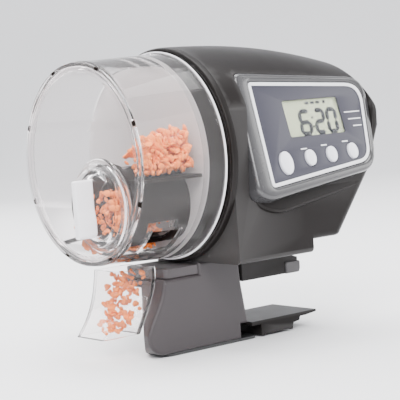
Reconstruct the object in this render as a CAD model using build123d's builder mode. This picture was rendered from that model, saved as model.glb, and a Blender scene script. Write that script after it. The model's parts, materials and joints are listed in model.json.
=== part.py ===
"""Automatic fish feeder: a clear food drum on a motor housing that clamps to a tank rim.

Millimetres, +Z up. X runs along the drum's axis, from the drum towards the housing, and
the control panel faces -Y. Every place below is measured from the drum's axis at its back
flange, and the planes made by across(), facing() and level() move it to the part's frame,
whose origin is the middle of the bottom of the whole part.
"""

from build123d import *
from math import atan2, copysign, cos, degrees, hypot, pi, radians, sin, sqrt, tan
import os

# ---------------------------------------------------------------- where the drum's axis is
FLANGE_X = -15.2
AXIS_Y = 1.572
AXIS_Z = 72.5

# ---------------------------------------------------------------- running and fitting gaps
RUN = 0.05  # radial gap of a shaft in its bush
FREE = 0.4  # gap between moving pieces that don't touch
SEAT = 0.1  # gap of a piece sitting in another's recess

# ---------------------------------------------------------------- food drum, clear plastic
DRUM_R_CAP = 36.6
DRUM_R_BACK = 38.0
DRUM_WALL = 1.6
CAP_FRONT = -37.0
CAP_THICK = 1.6
DRUM_MOUTH = CAP_FRONT + CAP_THICK
DRUM_BACK = -0.6
BACK_WALL = -9.0
BACK_WALL_THICK = 1.6
FLANGE_R = 38.8
FLANGE_THICK = 1.4
NOTCH_COUNT = 8
OUTLET_WIDTH = 13.0
OUTLET_ENDS = (-27.4, -14.4)

# ---------------------------------------------------------------- portion dial and its pocket
DIAL_Y = -12.0
DIAL_Z = -15.0
DIAL_R = 15.6
DIAL_FACE = -41.0
NECK_R = 13.4
SLEEVE_R = 13.0
SLEEVE_WALL = 1.2
POCKET_R = 14.8
POCKET_WALL = 1.2
GRIP_HEIGHT = 20.5
GRIP_THICK = 3.0
GRIP_PROUD = 7.6

# ---------------------------------------------------------------- drive
SHAFT_R = 3.0
HUB_ACROSS_FLATS = 11.0
GEAR_MODULE = 0.8
DRUM_TEETH = 40
IDLER_TEETH = 16
PINION_TEETH = 10
PRESSURE_ANGLE = 20.0
GEAR_X = 6.6
GEAR_WIDTH = 4.0
IDLER_ANGLE = -90.0
PINION_ANGLE = 180.0
GEAR_PLATE_X = 12.0
GEAR_PLATE_THICK = 1.6
MOTOR_R = 9.0
MOTOR_LENGTH = 22.0

# ---------------------------------------------------------------- motor housing
HOUSING_LEFT = 3.2
HOUSING_RIGHT = 79.0
HOUSING_FRONT = -37.0
HOUSING_BACK = 38.0
HOUSING_BOTTOM = -39.6
TAIL_BOTTOM = -34.8
CROWN_R = 40.2
WALL = 2.0
SPLIT_Y = 4.0
END_PLATE_LEFT = 0.8

# ---------------------------------------------------------------- control panel
PANEL_LEAN = 17.0
PANEL_X = 44.0
PANEL_Y = -35.6
PANEL_Z = 5.0
LCD_WIDTH = 28.0
LCD_HEIGHT = 14.2

# ---------------------------------------------------------------- base block and rim clamp
BASE_TOP = -44.0
BASE_BOTTOM = -AXIS_Z
BASE_HALF_DEPTH = 13.0
JAW_HALF_DEPTH = 13.0
GAP_TOP = -50.0
GAP_BOTTOM = -66.0
JAW_TRAVEL = 12.0
SCREW_X = 15.0
WHEEL_R = 11.6


def across(x):
    """A plane square to the drum's axis: its own x is +Y and its own y is +Z."""
    return Plane(origin=(FLANGE_X + x, AXIS_Y, AXIS_Z), x_dir=(0, 1, 0), z_dir=(1, 0, 0))


def facing(y):
    """An upright plane facing -Y: its own x is +X and its own y is +Z."""
    return Plane(origin=(FLANGE_X, AXIS_Y + y, AXIS_Z), x_dir=(1, 0, 0), z_dir=(0, -1, 0))


def level(z):
    """A level plane: its own x is +X and its own y is +Y."""
    return Plane(origin=(FLANGE_X, AXIS_Y, AXIS_Z + z))


LEAN = radians(PANEL_LEAN)
PANEL_OUT = Vector(0, -cos(LEAN), sin(LEAN))
PANEL_UP = Vector(0, sin(LEAN), cos(LEAN))


def on_panel(depth):
    """A plane parallel to the leaning panel face, depth outside it."""
    middle = Vector(FLANGE_X + PANEL_X, AXIS_Y + PANEL_Y, AXIS_Z + PANEL_Z)
    return Plane(origin=middle + PANEL_OUT * depth, x_dir=(1, 0, 0), z_dir=PANEL_OUT)


os.makedirs("parts", exist_ok=True)


def save(builder, label):
    """Labels a finished piece and writes its STEP file."""
    builder.part.label = label
    export_step(builder.part, f"parts/{label}.step")


# =====================================================================================
# Food drum: shell, partition with the metering pocket, end cap, dial and its grip
# =====================================================================================

HUB_SOCKET_R = 9.0
HUB_SLACK = 0.3
OUTLET_TILT = degrees(atan2(DIAL_Z, DIAL_Y))

with BuildPart() as drum_shell:
    with BuildSketch(facing(0)):
        with BuildLine():
            Polyline(
                (DRUM_MOUTH, DRUM_R_CAP - DRUM_WALL),
                (DRUM_MOUTH, DRUM_R_CAP),
                (DRUM_BACK - FLANGE_THICK, DRUM_R_BACK),
                (DRUM_BACK - FLANGE_THICK, FLANGE_R),
                (DRUM_BACK, FLANGE_R),
                (DRUM_BACK, DRUM_R_BACK - DRUM_WALL),
                (BACK_WALL + BACK_WALL_THICK, DRUM_R_BACK - DRUM_WALL - 0.3),
                (BACK_WALL + BACK_WALL_THICK, HUB_SOCKET_R),
                (DRUM_BACK - 1.0, HUB_SOCKET_R),
                (DRUM_BACK - 1.0, 0),
                (BACK_WALL, 0),
                (BACK_WALL, DRUM_R_BACK - DRUM_WALL - 0.4),
                close=True,
            )
        make_face()
    revolve(axis=Axis((FLANGE_X, AXIS_Y, AXIS_Z), (1, 0, 0)))
    with BuildSketch(across(BACK_WALL + BACK_WALL_THICK)):
        RegularPolygon((HUB_ACROSS_FLATS + HUB_SLACK) / 2, 6, major_radius=False)
    extrude(amount=-BACK_WALL, mode=Mode.SUBTRACT)
    with BuildSketch(across(OUTLET_ENDS[0])):
        with Locations(Location((0, 0), OUTLET_TILT)):
            with Locations((DRUM_R_BACK, 0)):
                Rectangle(2 * (DRUM_R_BACK - DRUM_R_CAP) + 8, OUTLET_WIDTH)
    extrude(amount=OUTLET_ENDS[1] - OUTLET_ENDS[0], mode=Mode.SUBTRACT)
save(drum_shell, "drum_shell")

POCKET_FRONT = DRUM_MOUTH + 1.8
SHELF_Z = -6.8
PLATE_THICK = 1.2
INSIDE_R = DRUM_R_CAP - DRUM_WALL - SEAT
SHELF_LEFT = -sqrt(INSIDE_R**2 - SHELF_Z**2)
SLEEVE_INSIDE = SLEEVE_R - SLEEVE_WALL

with BuildPart() as drum_partition:
    with BuildSketch(across(POCKET_FRONT)):
        with Locations((DIAL_Y, DIAL_Z)):
            Circle(POCKET_R)
        with BuildLine():
            Polyline(
                (SHELF_LEFT, SHELF_Z),
                (DIAL_Y, SHELF_Z),
                (DIAL_Y, SHELF_Z + PLATE_THICK),
                (SHELF_LEFT, SHELF_Z + PLATE_THICK),
                close=True,
            )
        make_face()
        with BuildLine():
            Polyline(
                (DIAL_Y, -22.6),
                (19.6, -28.4),
                (19.4, -28.4 - PLATE_THICK),
                (DIAL_Y, -22.6 - PLATE_THICK),
                close=True,
            )
        make_face()
        with Locations((DIAL_Y, DIAL_Z)):
            Circle(POCKET_R - POCKET_WALL, mode=Mode.SUBTRACT)
    extrude(amount=BACK_WALL - POCKET_FRONT)
    # the window above, where food drops in, and the one below, over the drum's outlet
    with BuildSketch(across(POCKET_FRONT + 2)):
        with Locations((DIAL_Y, DIAL_Z + POCKET_R)):
            Rectangle(14, 12)
    extrude(amount=BACK_WALL - POCKET_FRONT - 4, mode=Mode.SUBTRACT)
    with BuildSketch(across(OUTLET_ENDS[0])):
        with Locations(Location((0, 0), OUTLET_TILT)):
            with Locations((hypot(DIAL_Y, DIAL_Z) + POCKET_R, 0)):
                Rectangle(8, OUTLET_WIDTH)
    extrude(amount=OUTLET_ENDS[1] - OUTLET_ENDS[0], mode=Mode.SUBTRACT)
    # nothing reaches past the tapering inside of the drum
    with BuildSketch(across(POCKET_FRONT)):
        Circle(INSIDE_R)
    extrude(amount=BACK_WALL - POCKET_FRONT, mode=Mode.INTERSECT)
save(drum_partition, "drum_partition")

with BuildPart() as drum_end_cap:
    with BuildSketch(across(CAP_FRONT)):
        Circle(DRUM_R_CAP)
        with PolarLocations(DRUM_R_CAP, NOTCH_COUNT, start_angle=22.5):
            Rectangle(2.4, 2.6, mode=Mode.SUBTRACT)
    extrude(amount=CAP_THICK - 0.05)
    with BuildSketch(across(CAP_FRONT + CAP_THICK - 0.05)):
        Circle(DRUM_R_CAP - DRUM_WALL - SEAT)
        Circle(DRUM_R_CAP - DRUM_WALL - SEAT - 1.2, mode=Mode.SUBTRACT)
    extrude(amount=1.6)
    with BuildSketch(across(CAP_FRONT)):
        with Locations((DIAL_Y, DIAL_Z)):
            Circle(NECK_R)
    extrude(amount=CAP_THICK, mode=Mode.SUBTRACT)
save(drum_end_cap, "drum_end_cap")

DIAL_FOOT = CAP_FRONT - 0.3

with BuildPart() as portion_dial:
    with BuildSketch(across(DIAL_FOOT)):
        with Locations((DIAL_Y, DIAL_Z)):
            Circle(DIAL_R)
    extrude(amount=-1.4)
    with BuildSketch(across(DIAL_FOOT - 1.4)):
        with Locations((DIAL_Y, DIAL_Z)):
            Circle(DIAL_R - 1.6)
    extrude(amount=DIAL_FACE - DIAL_FOOT + 1.4, taper=8)
    with BuildSketch(across(DIAL_FACE + 1.4)):
        with Locations((DIAL_Y, DIAL_Z)):
            Circle(SLEEVE_INSIDE)
    extrude(amount=20, mode=Mode.SUBTRACT)
    with BuildSketch(across(DIAL_FACE)):
        with Locations((DIAL_Y, DIAL_Z)):
            Rectangle(GRIP_THICK - 1.0, GRIP_HEIGHT - 4)
    extrude(amount=1.4, mode=Mode.SUBTRACT)
save(portion_dial, "portion_dial")

with BuildPart() as metering_sleeve:
    with BuildSketch(across(DIAL_FOOT)):
        with Locations((DIAL_Y, DIAL_Z)):
            Circle(NECK_R - RUN)
            Circle(SLEEVE_INSIDE, mode=Mode.SUBTRACT)
    extrude(amount=CAP_THICK + 0.3)
    with BuildSketch(across(DIAL_FOOT + CAP_THICK + 0.3)):
        with Locations((DIAL_Y, DIAL_Z)):
            Circle(SLEEVE_R)
            Circle(SLEEVE_INSIDE, mode=Mode.SUBTRACT)
    extrude(amount=BACK_WALL - FREE - DIAL_FOOT - CAP_THICK - 0.3)
    # half of the sleeve is cut away above, so that turning it opens or shuts the inlet
    with BuildSketch(across(OUTLET_ENDS[0])):
        with Locations((DIAL_Y, DIAL_Z + SLEEVE_R)):
            Rectangle(2 * SLEEVE_R + 2, 2 * SLEEVE_R - 8)
        with Locations(Location((0, 0), OUTLET_TILT)):
            with Locations((hypot(DIAL_Y, DIAL_Z) + SLEEVE_R, 0)):
                Rectangle(8, OUTLET_WIDTH)
    extrude(amount=OUTLET_ENDS[1] - OUTLET_ENDS[0], mode=Mode.SUBTRACT)
save(metering_sleeve, "metering_sleeve")

with BuildPart() as dial_grip:
    with BuildSketch(across(DIAL_FACE)):
        with Locations((DIAL_Y, DIAL_Z)):
            RectangleRounded(GRIP_THICK, GRIP_HEIGHT, 1.2)
        with Locations((DIAL_Y - 0.9, DIAL_Z - 5.5)):
            RectangleRounded(GRIP_THICK, GRIP_HEIGHT - 12.5, 1.4)
    extrude(amount=-GRIP_PROUD)
    fillet(dial_grip.faces().sort_by(Axis.X)[0].edges(), 0.8)
    with BuildSketch(across(DIAL_FACE)):
        with Locations((DIAL_Y, DIAL_Z)):
            Rectangle(GRIP_THICK - 1.2, GRIP_HEIGHT - 4.2)
    extrude(amount=1.3)
save(dial_grip, "dial_grip")

# =====================================================================================
# Drive: hub and shaft, gear train, bushes, plate, motor, cam and home switch
# =====================================================================================


def involute_outline(teeth, phase, centre):
    """Draws the outline of a spur gear round centre, with tooth 0 along phase, in degrees."""
    pitch_r = GEAR_MODULE * teeth / 2
    base_r = pitch_r * cos(radians(PRESSURE_ANGLE))
    tip_r = pitch_r + 0.9 * GEAR_MODULE
    root_r = pitch_r - 1.2 * GEAR_MODULE
    backlash = 0.10 / pitch_r

    def half_angle(r):
        """Half of the tooth's angle at radius r."""
        at_pitch = pi / (2 * teeth) - backlash
        opening = tan(radians(PRESSURE_ANGLE)) - radians(PRESSURE_ANGLE)
        if r <= base_r:
            return at_pitch + opening
        press = sqrt((r / base_r) ** 2 - 1)
        return at_pitch + opening - (press - atan2(press, 1))

    start_r = max(root_r, base_r)
    flank = [start_r + (tip_r - start_r) * i / 4 for i in range(5)]
    points = []
    for tooth in range(teeth):
        middle = radians(phase) + 2 * pi * tooth / teeth
        if root_r < base_r:
            spot = middle - half_angle(base_r)
            points.append((root_r * cos(spot), root_r * sin(spot)))
        for r in flank:
            spot = middle - half_angle(r)
            points.append((r * cos(spot), r * sin(spot)))
        for r in reversed(flank):
            spot = middle + half_angle(r)
            points.append((r * cos(spot), r * sin(spot)))
        if root_r < base_r:
            spot = middle + half_angle(base_r)
            points.append((root_r * cos(spot), root_r * sin(spot)))
    Polyline(*((centre[0] + y, centre[1] + z) for y, z in points), close=True)


def step_from(start, distance, angle):
    """The point that lies distance from start in the direction angle."""
    return (
        start[0] + distance * cos(radians(angle)),
        start[1] + distance * sin(radians(angle)),
    )


IDLER_AT = step_from((0, 0), GEAR_MODULE * (DRUM_TEETH + IDLER_TEETH) / 2, IDLER_ANGLE)
PINION_AT = step_from(IDLER_AT, GEAR_MODULE * (IDLER_TEETH + PINION_TEETH) / 2, PINION_ANGLE)
# the drum gear points a tooth at the idler, which takes it in a gap
DRUM_PHASE = IDLER_ANGLE
IDLER_PHASE = IDLER_ANGLE + 180 + 180 / IDLER_TEETH
# the idler's tooth nearest to the pinion is off their line, and the pinion makes up for it
IDLER_PITCH = 360 / IDLER_TEETH
OFF_LINE = (PINION_ANGLE - IDLER_PHASE) % IDLER_PITCH
PINION_PHASE = PINION_ANGLE + 180 + 180 / PINION_TEETH + OFF_LINE * IDLER_TEETH / PINION_TEETH

HUB_TIP = BACK_WALL + BACK_WALL_THICK + 0.3
HUB_BACK = -0.4

with BuildPart() as drive_hub:
    with BuildSketch(across(HUB_TIP)):
        RegularPolygon(HUB_ACROSS_FLATS / 2, 6, major_radius=False)
    extrude(amount=HUB_BACK - HUB_TIP)
    chamfer(drive_hub.faces().sort_by(Axis.X)[0].edges(), 0.8)
    with BuildSketch(across(HUB_BACK)):
        Circle(SHAFT_R)
    extrude(amount=GEAR_PLATE_X + 8 - HUB_BACK)
save(drive_hub, "drive_hub")

with BuildPart() as drum_gear:
    with BuildSketch(across(GEAR_X)):
        with BuildLine():
            involute_outline(DRUM_TEETH, DRUM_PHASE, (0, 0))
        make_face()
        with PolarLocations(10, 5):
            Circle(2.6, mode=Mode.SUBTRACT)
        Circle(SHAFT_R, mode=Mode.SUBTRACT)
    extrude(amount=GEAR_WIDTH)
save(drum_gear, "drum_gear")

with BuildPart() as idler_gear:
    with BuildSketch(across(GEAR_X)):
        with BuildLine():
            involute_outline(IDLER_TEETH, IDLER_PHASE, IDLER_AT)
        make_face()
        with Locations(IDLER_AT):
            Circle(1.5 + RUN, mode=Mode.SUBTRACT)
    extrude(amount=GEAR_WIDTH)
save(idler_gear, "idler_gear")

with BuildPart() as idler_pin:
    with BuildSketch(across(HOUSING_LEFT + WALL)):
        with Locations(IDLER_AT):
            Circle(1.5)
    extrude(amount=GEAR_PLATE_X - HOUSING_LEFT - WALL)
save(idler_pin, "idler_pin")

with BuildPart() as motor_pinion:
    with BuildSketch(across(GEAR_X - 0.6)):
        with BuildLine():
            involute_outline(PINION_TEETH, PINION_PHASE, PINION_AT)
        make_face()
    extrude(amount=GEAR_WIDTH + 1.2)
    with BuildSketch(across(GEAR_X)):
        with Locations(PINION_AT):
            Circle(1.0)
    extrude(amount=GEAR_PLATE_X + GEAR_PLATE_THICK + 4 - GEAR_X)
save(motor_pinion, "motor_pinion")

CAM_X = GEAR_PLATE_X + GEAR_PLATE_THICK + 1.6

with BuildPart() as home_cam:
    with BuildSketch(across(CAM_X)):
        Circle(7.0)
        with Locations((0, 7.0)):
            Circle(1.6, mode=Mode.SUBTRACT)
        Circle(SHAFT_R, mode=Mode.SUBTRACT)
    extrude(amount=2.4)
save(home_cam, "home_cam")

with BuildPart() as home_switch:
    with BuildSketch(across(CAM_X - 1.4)):
        with Locations((0, 15.0)):
            Rectangle(13.0, 6.4)
    extrude(amount=5.6)
    with BuildSketch(across(CAM_X + 0.4)):
        with Locations((0, 9.9)):
            Rectangle(1.6, 3.8)
    extrude(amount=1.6)
save(home_switch, "home_switch")

with BuildPart() as shaft_bushes:
    for bush_x, bush_length in ((END_PLATE_LEFT + 0.2, 4.6), (GEAR_PLATE_X - 0.6, 2.6)):
        with BuildSketch(across(bush_x)):
            Circle(5.0)
            Circle(SHAFT_R + RUN, mode=Mode.SUBTRACT)
        extrude(amount=bush_length)
save(shaft_bushes, "shaft_bushes")

with BuildPart() as gear_plate:
    with BuildSketch(across(GEAR_PLATE_X)):
        with BuildLine():
            Polyline((-17, 19), (15, 19), (18.4, 12), (18.4, -35), (-22, -35), (-22, -8), close=True)
        make_face()
        Circle(5.0 + SEAT / 2, mode=Mode.SUBTRACT)
        with Locations(PINION_AT):
            Circle(3.0, mode=Mode.SUBTRACT)
    extrude(amount=GEAR_PLATE_THICK)
save(gear_plate, "gear_plate")

POSTS = ((-14.5, 16.0), (16.3, 10.2), (12.0, -27.0))
POST_R = 1.8

with BuildPart() as gear_posts:
    with BuildSketch(across(HOUSING_LEFT + WALL)):
        with Locations(*POSTS):
            Circle(POST_R)
    extrude(amount=GEAR_PLATE_X - HOUSING_LEFT - WALL)
save(gear_posts, "gear_posts")

with BuildPart() as plate_screws:
    with BuildSketch(across(GEAR_PLATE_X + GEAR_PLATE_THICK)):
        with Locations(*POSTS):
            Circle(1.9)
    extrude(amount=1.3)
    chamfer(plate_screws.faces().group_by(Axis.X)[-1].edges(), 0.4)
    with BuildSketch(across(GEAR_PLATE_X + GEAR_PLATE_THICK + 1.3)):
        with Locations(*POSTS):
            Rectangle(2.2, 0.5)
            Rectangle(0.5, 2.2)
    extrude(amount=-0.7, mode=Mode.SUBTRACT)
save(plate_screws, "plate_screws")

with BuildPart() as drive_motor:
    with BuildSketch(across(GEAR_PLATE_X + GEAR_PLATE_THICK)):
        with Locations(PINION_AT):
            Circle(MOTOR_R)
            Circle(1.0 + RUN, mode=Mode.SUBTRACT)
    extrude(amount=MOTOR_LENGTH)
    with BuildSketch(across(GEAR_PLATE_X + GEAR_PLATE_THICK + MOTOR_LENGTH)):
        with Locations(PINION_AT):
            Circle(3.4)
    extrude(amount=1.6)
    with BuildSketch(across(GEAR_PLATE_X + GEAR_PLATE_THICK + MOTOR_LENGTH)):
        with Locations((PINION_AT[0] - 6, PINION_AT[1]), (PINION_AT[0] + 6, PINION_AT[1])):
            Rectangle(0.6, 2.4)
    extrude(amount=3)
save(drive_motor, "drive_motor")

# =====================================================================================
# Motor housing: two shells, the end plate behind the drum, and the screws
# =====================================================================================

CASE_SCREWS = ((10, 27), (60, 18), (8.6, -34.0), (48, -30.2))
SCREW_SEAT_Y = 22.0
SCREW_R = 1.3
BOSS_R = 3.2
CROWN_FLAT = 16.0  # the crown starts to fall here
CROWN_FALL_R = 235.0
SHOULDER = 15.7  # height of the front wall's top beside the drum
SHOULDER_DROP = 2.0
FORM_STATIONS = (HOUSING_LEFT, 24.0, 44.0, 62.0, HOUSING_RIGHT)
DEEP_END = 39.4
TAIL_END = 54.4
KINK = (72.0, -12.0)
UPRIGHT_FROM = 5.0


def section_outline(station, inset):
    """Draws the housing's section at a station along X, inset inside its outside."""
    front = HOUSING_FRONT + inset
    back = HOUSING_BACK - inset
    bottom = HOUSING_BOTTOM + inset
    run = max(0, station - CROWN_FLAT)
    crown = CROWN_R - inset - CROWN_FALL_R + sqrt(CROWN_FALL_R**2 - run**2)
    share = (station - HOUSING_LEFT) / (HOUSING_RIGHT - HOUSING_LEFT)
    shoulder = SHOULDER - SHOULDER_DROP * share**1.5 - inset / 2
    Polyline((front, shoulder), (front, bottom), (back, bottom), (back, shoulder - 2))
    ThreePointArc((back, shoulder - 2), (0, crown), (front, shoulder))


def silhouette_outline(inset):
    """Draws the stepped and tapered end that the housing has seen from the front."""
    left = HOUSING_LEFT + inset - 1
    bottom = HOUSING_BOTTOM + inset
    tail = TAIL_BOTTOM + inset
    right = HOUSING_RIGHT - inset
    Polyline(
        (left, 60),
        (left, bottom),
        (DEEP_END - inset, bottom),
        (DEEP_END - inset, tail),
        (TAIL_END - 0.6 * inset, tail),
        (KINK[0] - inset, KINK[1]),
        (right, UPRIGHT_FROM),
        (right, 60),
        close=True,
    )


def local(shape):
    """The middle of an edge or face, measured from the drum's axis at its flange."""
    return shape.center() - Vector(FLANGE_X, AXIS_Y, AXIS_Z)


def on_side_wall(edge):
    """Whether an edge lies on the front or the back wall of the housing."""
    return abs(abs(local(edge).Y - 0.5) - 37.5) < 2.5


def housing_form(inset):
    """The housing's form, inset inside its outside, with its corners rounded."""
    with BuildPart() as form:
        for station in FORM_STATIONS:
            place = min(max(station, HOUSING_LEFT + inset), HOUSING_RIGHT - inset)
            with BuildSketch(across(place)):
                with BuildLine():
                    section_outline(station, inset)
                make_face()
        loft()
        with BuildSketch(facing(60)):
            with BuildLine():
                silhouette_outline(inset)
            make_face()
        extrude(amount=120, mode=Mode.INTERSECT)
        crown_end = form.edges().filter_by(
            lambda e: local(e).X > 71 and local(e).Z > 18 and e.bounding_box().size.Y > 10
        )
        fillet(crown_end, 5 - inset)
        corners = form.edges().filter_by(
            lambda e: local(e).X > 58 and on_side_wall(e) and e.bounding_box().size.Z > 3
        )
        fillet(corners, 3.6 - inset)
        kink = form.edges().filter_by(
            lambda e: local(e).X > 68 and abs(local(e).Z - KINK[1]) < 1
        )
        fillet(kink, 5 - inset)
        if inset == 0:
            rim = form.edges().filter_by(
                lambda e: local(e).Z < TAIL_BOTTOM + 0.5 and e.bounding_box().size.X > 5 and on_side_wall(e)
            )
            fillet(rim, 2)
    return form.part


outer_form = housing_form(0)
inner_form = housing_form(WALL)

with BuildPart() as bosses:
    with BuildSketch(facing(HOUSING_BACK)):
        for screw_x, screw_z in CASE_SCREWS:
            with Locations((screw_x, screw_z)):
                Circle(BOSS_R)
            # the rib that ties the boss to the wall above or below it
            with Locations((screw_x, screw_z + copysign(7, screw_z))):
                Rectangle(1.6, 14)
    extrude(amount=HOUSING_BACK + 6)
    add(housing_form(WALL / 2), mode=Mode.INTERSECT)
    with BuildSketch(facing(SCREW_SEAT_Y)):
        with Locations(*CASE_SCREWS):
            Circle(SCREW_R + RUN)
    extrude(amount=SCREW_SEAT_Y + 10, mode=Mode.SUBTRACT)


SHAFT_HOLE_R = 14.0  # in the housing's left wall, round the shaft's bush

# ---------------------------------------------------------------- the panel's outlines

BEZEL_CORNERS = ((-31.6, 24.6), (33.4, 19.8), (27.0, -16.6), (-28.6, -23.8), (-34.4, -21.0))
BEZEL_RADII = (2.5, 7.5, 5.0, 3.0, 3.0)
PANEL_CORNERS = ((-25.6, 20.8), (31.2, 17.4), (25.4, -13.4), (-27.0, -19.5))
PANEL_RADII = (1.5, 6.5, 4.5, 1.5)
LCD_AT = (2.6, 5.7)
BUTTONS = (
    ("feed_button", (-17.3, -10.8), 6.0, 8.8),
    ("hour_button", (-4.9, -9.8), 4.9, 6.2),
    ("minute_button", (6.1, -9.4), 4.9, 6.2),
    ("cycle_button", (17.2, -9.0), 4.9, 6.2),
)
BUTTON_TRAVEL = 0.8
PLATE_BACK = -1.0
PLATE_FRONT = 0.2
BEZEL_FRONT = 1.4
BEZEL_BACK = -9.0


def rounded_outline(corners, radii, inset):
    """A flat outline with each of its corners rounded, inset inside itself."""
    with BuildSketch() as outline:
        with BuildLine():
            Polyline(*corners, close=True)
        make_face()
        for corner, radius in zip(corners, radii):
            fillet(outline.vertices().sort_by_distance((*corner, 0))[0], radius)
        if inset:
            offset(amount=-inset, mode=Mode.REPLACE)
    return outline.sketch


with BuildPart() as front_shell:
    add(outer_form)
    add(inner_form, mode=Mode.SUBTRACT)
    add(bosses.part)
    split(bisect_by=facing(SPLIT_Y), keep=Keep.TOP)
    with BuildSketch(across(HOUSING_LEFT - 1)):
        Circle(SHAFT_HOLE_R)
    extrude(amount=WALL + 2, mode=Mode.SUBTRACT)
    with BuildSketch(on_panel(-14)):
        add(rounded_outline(BEZEL_CORNERS, BEZEL_RADII, -SEAT))
    extrude(amount=34, mode=Mode.SUBTRACT)
save(front_shell, "front_shell")

COVER_X = (6.2, 61.0)
COVER_Z = (-21.0, 11.0)
COVER_THICK = 1.6
COVER_LEDGE = 1.4


def cover_outline(inset):
    """Draws the battery cover's outline, inset inside itself."""
    with Locations(((COVER_X[0] + COVER_X[1]) / 2, (COVER_Z[0] + COVER_Z[1]) / 2)):
        RectangleRounded(
            COVER_X[1] - COVER_X[0] - 2 * inset,
            COVER_Z[1] - COVER_Z[0] - 2 * inset,
            2.5 - inset / 2,
        )


with BuildPart() as rear_shell:
    add(outer_form)
    add(inner_form, mode=Mode.SUBTRACT)
    add(bosses.part)
    split(bisect_by=facing(SPLIT_Y), keep=Keep.BOTTOM)
    with BuildSketch(across(HOUSING_LEFT - 1)):
        Circle(SHAFT_HOLE_R)
    extrude(amount=WALL + 2, mode=Mode.SUBTRACT)
    with BuildSketch(facing(SCREW_SEAT_Y)):
        with Locations(*CASE_SCREWS):
            Circle(2.5)
    extrude(amount=-30, mode=Mode.SUBTRACT)
    with BuildSketch(facing(HOUSING_BACK)):
        cover_outline(0)
    extrude(amount=COVER_THICK - 0.4, mode=Mode.SUBTRACT)
    with BuildSketch(facing(HOUSING_BACK)):
        cover_outline(COVER_LEDGE)
    extrude(amount=WALL, mode=Mode.SUBTRACT)
save(rear_shell, "rear_shell")

with BuildPart() as case_screws:
    with BuildSketch(facing(SCREW_SEAT_Y + 1.8)):
        with Locations(*CASE_SCREWS):
            Circle(2.3)
    extrude(amount=1.8)
    with BuildSketch(facing(SCREW_SEAT_Y)):
        with Locations(*CASE_SCREWS):
            Circle(SCREW_R)
    extrude(amount=24)
    with BuildSketch(facing(SCREW_SEAT_Y + 1.8)):
        with Locations(*CASE_SCREWS):
            Rectangle(3.0, 0.6)
            Rectangle(0.6, 3.0)
    extrude(amount=0.9, mode=Mode.SUBTRACT)
save(case_screws, "case_screws")

with BuildPart() as end_plate:
    with BuildSketch(across(END_PLATE_LEFT)):
        Circle(CROWN_R)
    extrude(amount=HOUSING_LEFT - END_PLATE_LEFT)
    chamfer(end_plate.faces().sort_by(Axis.X)[0].edges(), 0.6)
    with BuildSketch(across(END_PLATE_LEFT)):
        Circle(CROWN_R - 2.0)
    extrude(amount=1.0, mode=Mode.SUBTRACT)
    with BuildSketch(across(END_PLATE_LEFT)):
        Circle(5.0)
    extrude(amount=HOUSING_LEFT, mode=Mode.SUBTRACT)
save(end_plate, "end_plate")

# =====================================================================================
# Control panel: bezel, plate and its printed border, display, buttons, board, switches
# =====================================================================================

with BuildPart() as bezel_frame:
    with BuildSketch(on_panel(BEZEL_BACK)):
        add(rounded_outline(BEZEL_CORNERS, BEZEL_RADII, 0))
    extrude(amount=BEZEL_FRONT - BEZEL_BACK)
    chamfer(bezel_frame.faces().sort_by(Axis.Y)[0].edges(), 1.8)
    with BuildSketch(on_panel(PLATE_BACK)):
        add(rounded_outline(PANEL_CORNERS, PANEL_RADII, -SEAT))
    extrude(amount=4, mode=Mode.SUBTRACT)
    with BuildSketch(on_panel(BEZEL_BACK)):
        add(rounded_outline(PANEL_CORNERS, PANEL_RADII, 1.2))
    extrude(amount=12, mode=Mode.SUBTRACT)
save(bezel_frame, "bezel_frame")

with BuildPart() as panel_plate:
    with BuildSketch(on_panel(PLATE_BACK)):
        add(rounded_outline(PANEL_CORNERS, PANEL_RADII, 0))
        with Locations(LCD_AT):
            Rectangle(LCD_WIDTH + 2 * SEAT, LCD_HEIGHT + 2 * SEAT, mode=Mode.SUBTRACT)
        for label, spot, wide, high in BUTTONS:
            with Locations(spot):
                Ellipse(wide / 2 + 0.25, high / 2 + 0.25, mode=Mode.SUBTRACT)
    extrude(amount=PLATE_FRONT - PLATE_BACK)
save(panel_plate, "panel_plate")

with BuildPart() as panel_border:
    with BuildSketch(on_panel(PLATE_FRONT)):
        add(rounded_outline(PANEL_CORNERS, PANEL_RADII, 0))
        add(rounded_outline(PANEL_CORNERS, PANEL_RADII, 1.8), mode=Mode.SUBTRACT)
    extrude(amount=0.4)
save(panel_border, "panel_border")

with BuildPart() as lcd_window:
    with BuildSketch(on_panel(PLATE_BACK)):
        with Locations(LCD_AT):
            Rectangle(LCD_WIDTH, LCD_HEIGHT)
    extrude(amount=PLATE_FRONT - PLATE_BACK - 0.1)
save(lcd_window, "lcd_window")

BOARD_FRONT = -7.0
BOARD_THICK = 1.4

with BuildPart() as lcd_module:
    with BuildSketch(on_panel(BOARD_FRONT)):
        with Locations(LCD_AT):
            Rectangle(LCD_WIDTH + 2, LCD_HEIGHT + 1)
            Rectangle(LCD_WIDTH - 1, LCD_HEIGHT - 3, mode=Mode.SUBTRACT)
    extrude(amount=PLATE_BACK - 1.8 - BOARD_FRONT)
    with BuildSketch(on_panel(PLATE_BACK - 1.8)):
        with Locations(LCD_AT):
            Rectangle(LCD_WIDTH + 2, LCD_HEIGHT + 1)
    extrude(amount=1.8)
save(lcd_module, "lcd_module")

with BuildPart() as circuit_board:
    with BuildSketch(on_panel(BOARD_FRONT - BOARD_THICK)):
        add(rounded_outline(PANEL_CORNERS, PANEL_RADII, 3.0))
    extrude(amount=BOARD_THICK)
    with BuildSketch(on_panel(BOARD_FRONT - BOARD_THICK)):
        with Locations((-14, 8)):
            Rectangle(7, 7)
        with Locations((6, -4), (6, -1), (6, 2)):
            Rectangle(4, 1.6)
        with Locations((18, 4)):
            Rectangle(2.4, 6)
    extrude(amount=-1.2)
save(circuit_board, "circuit_board")

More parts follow.
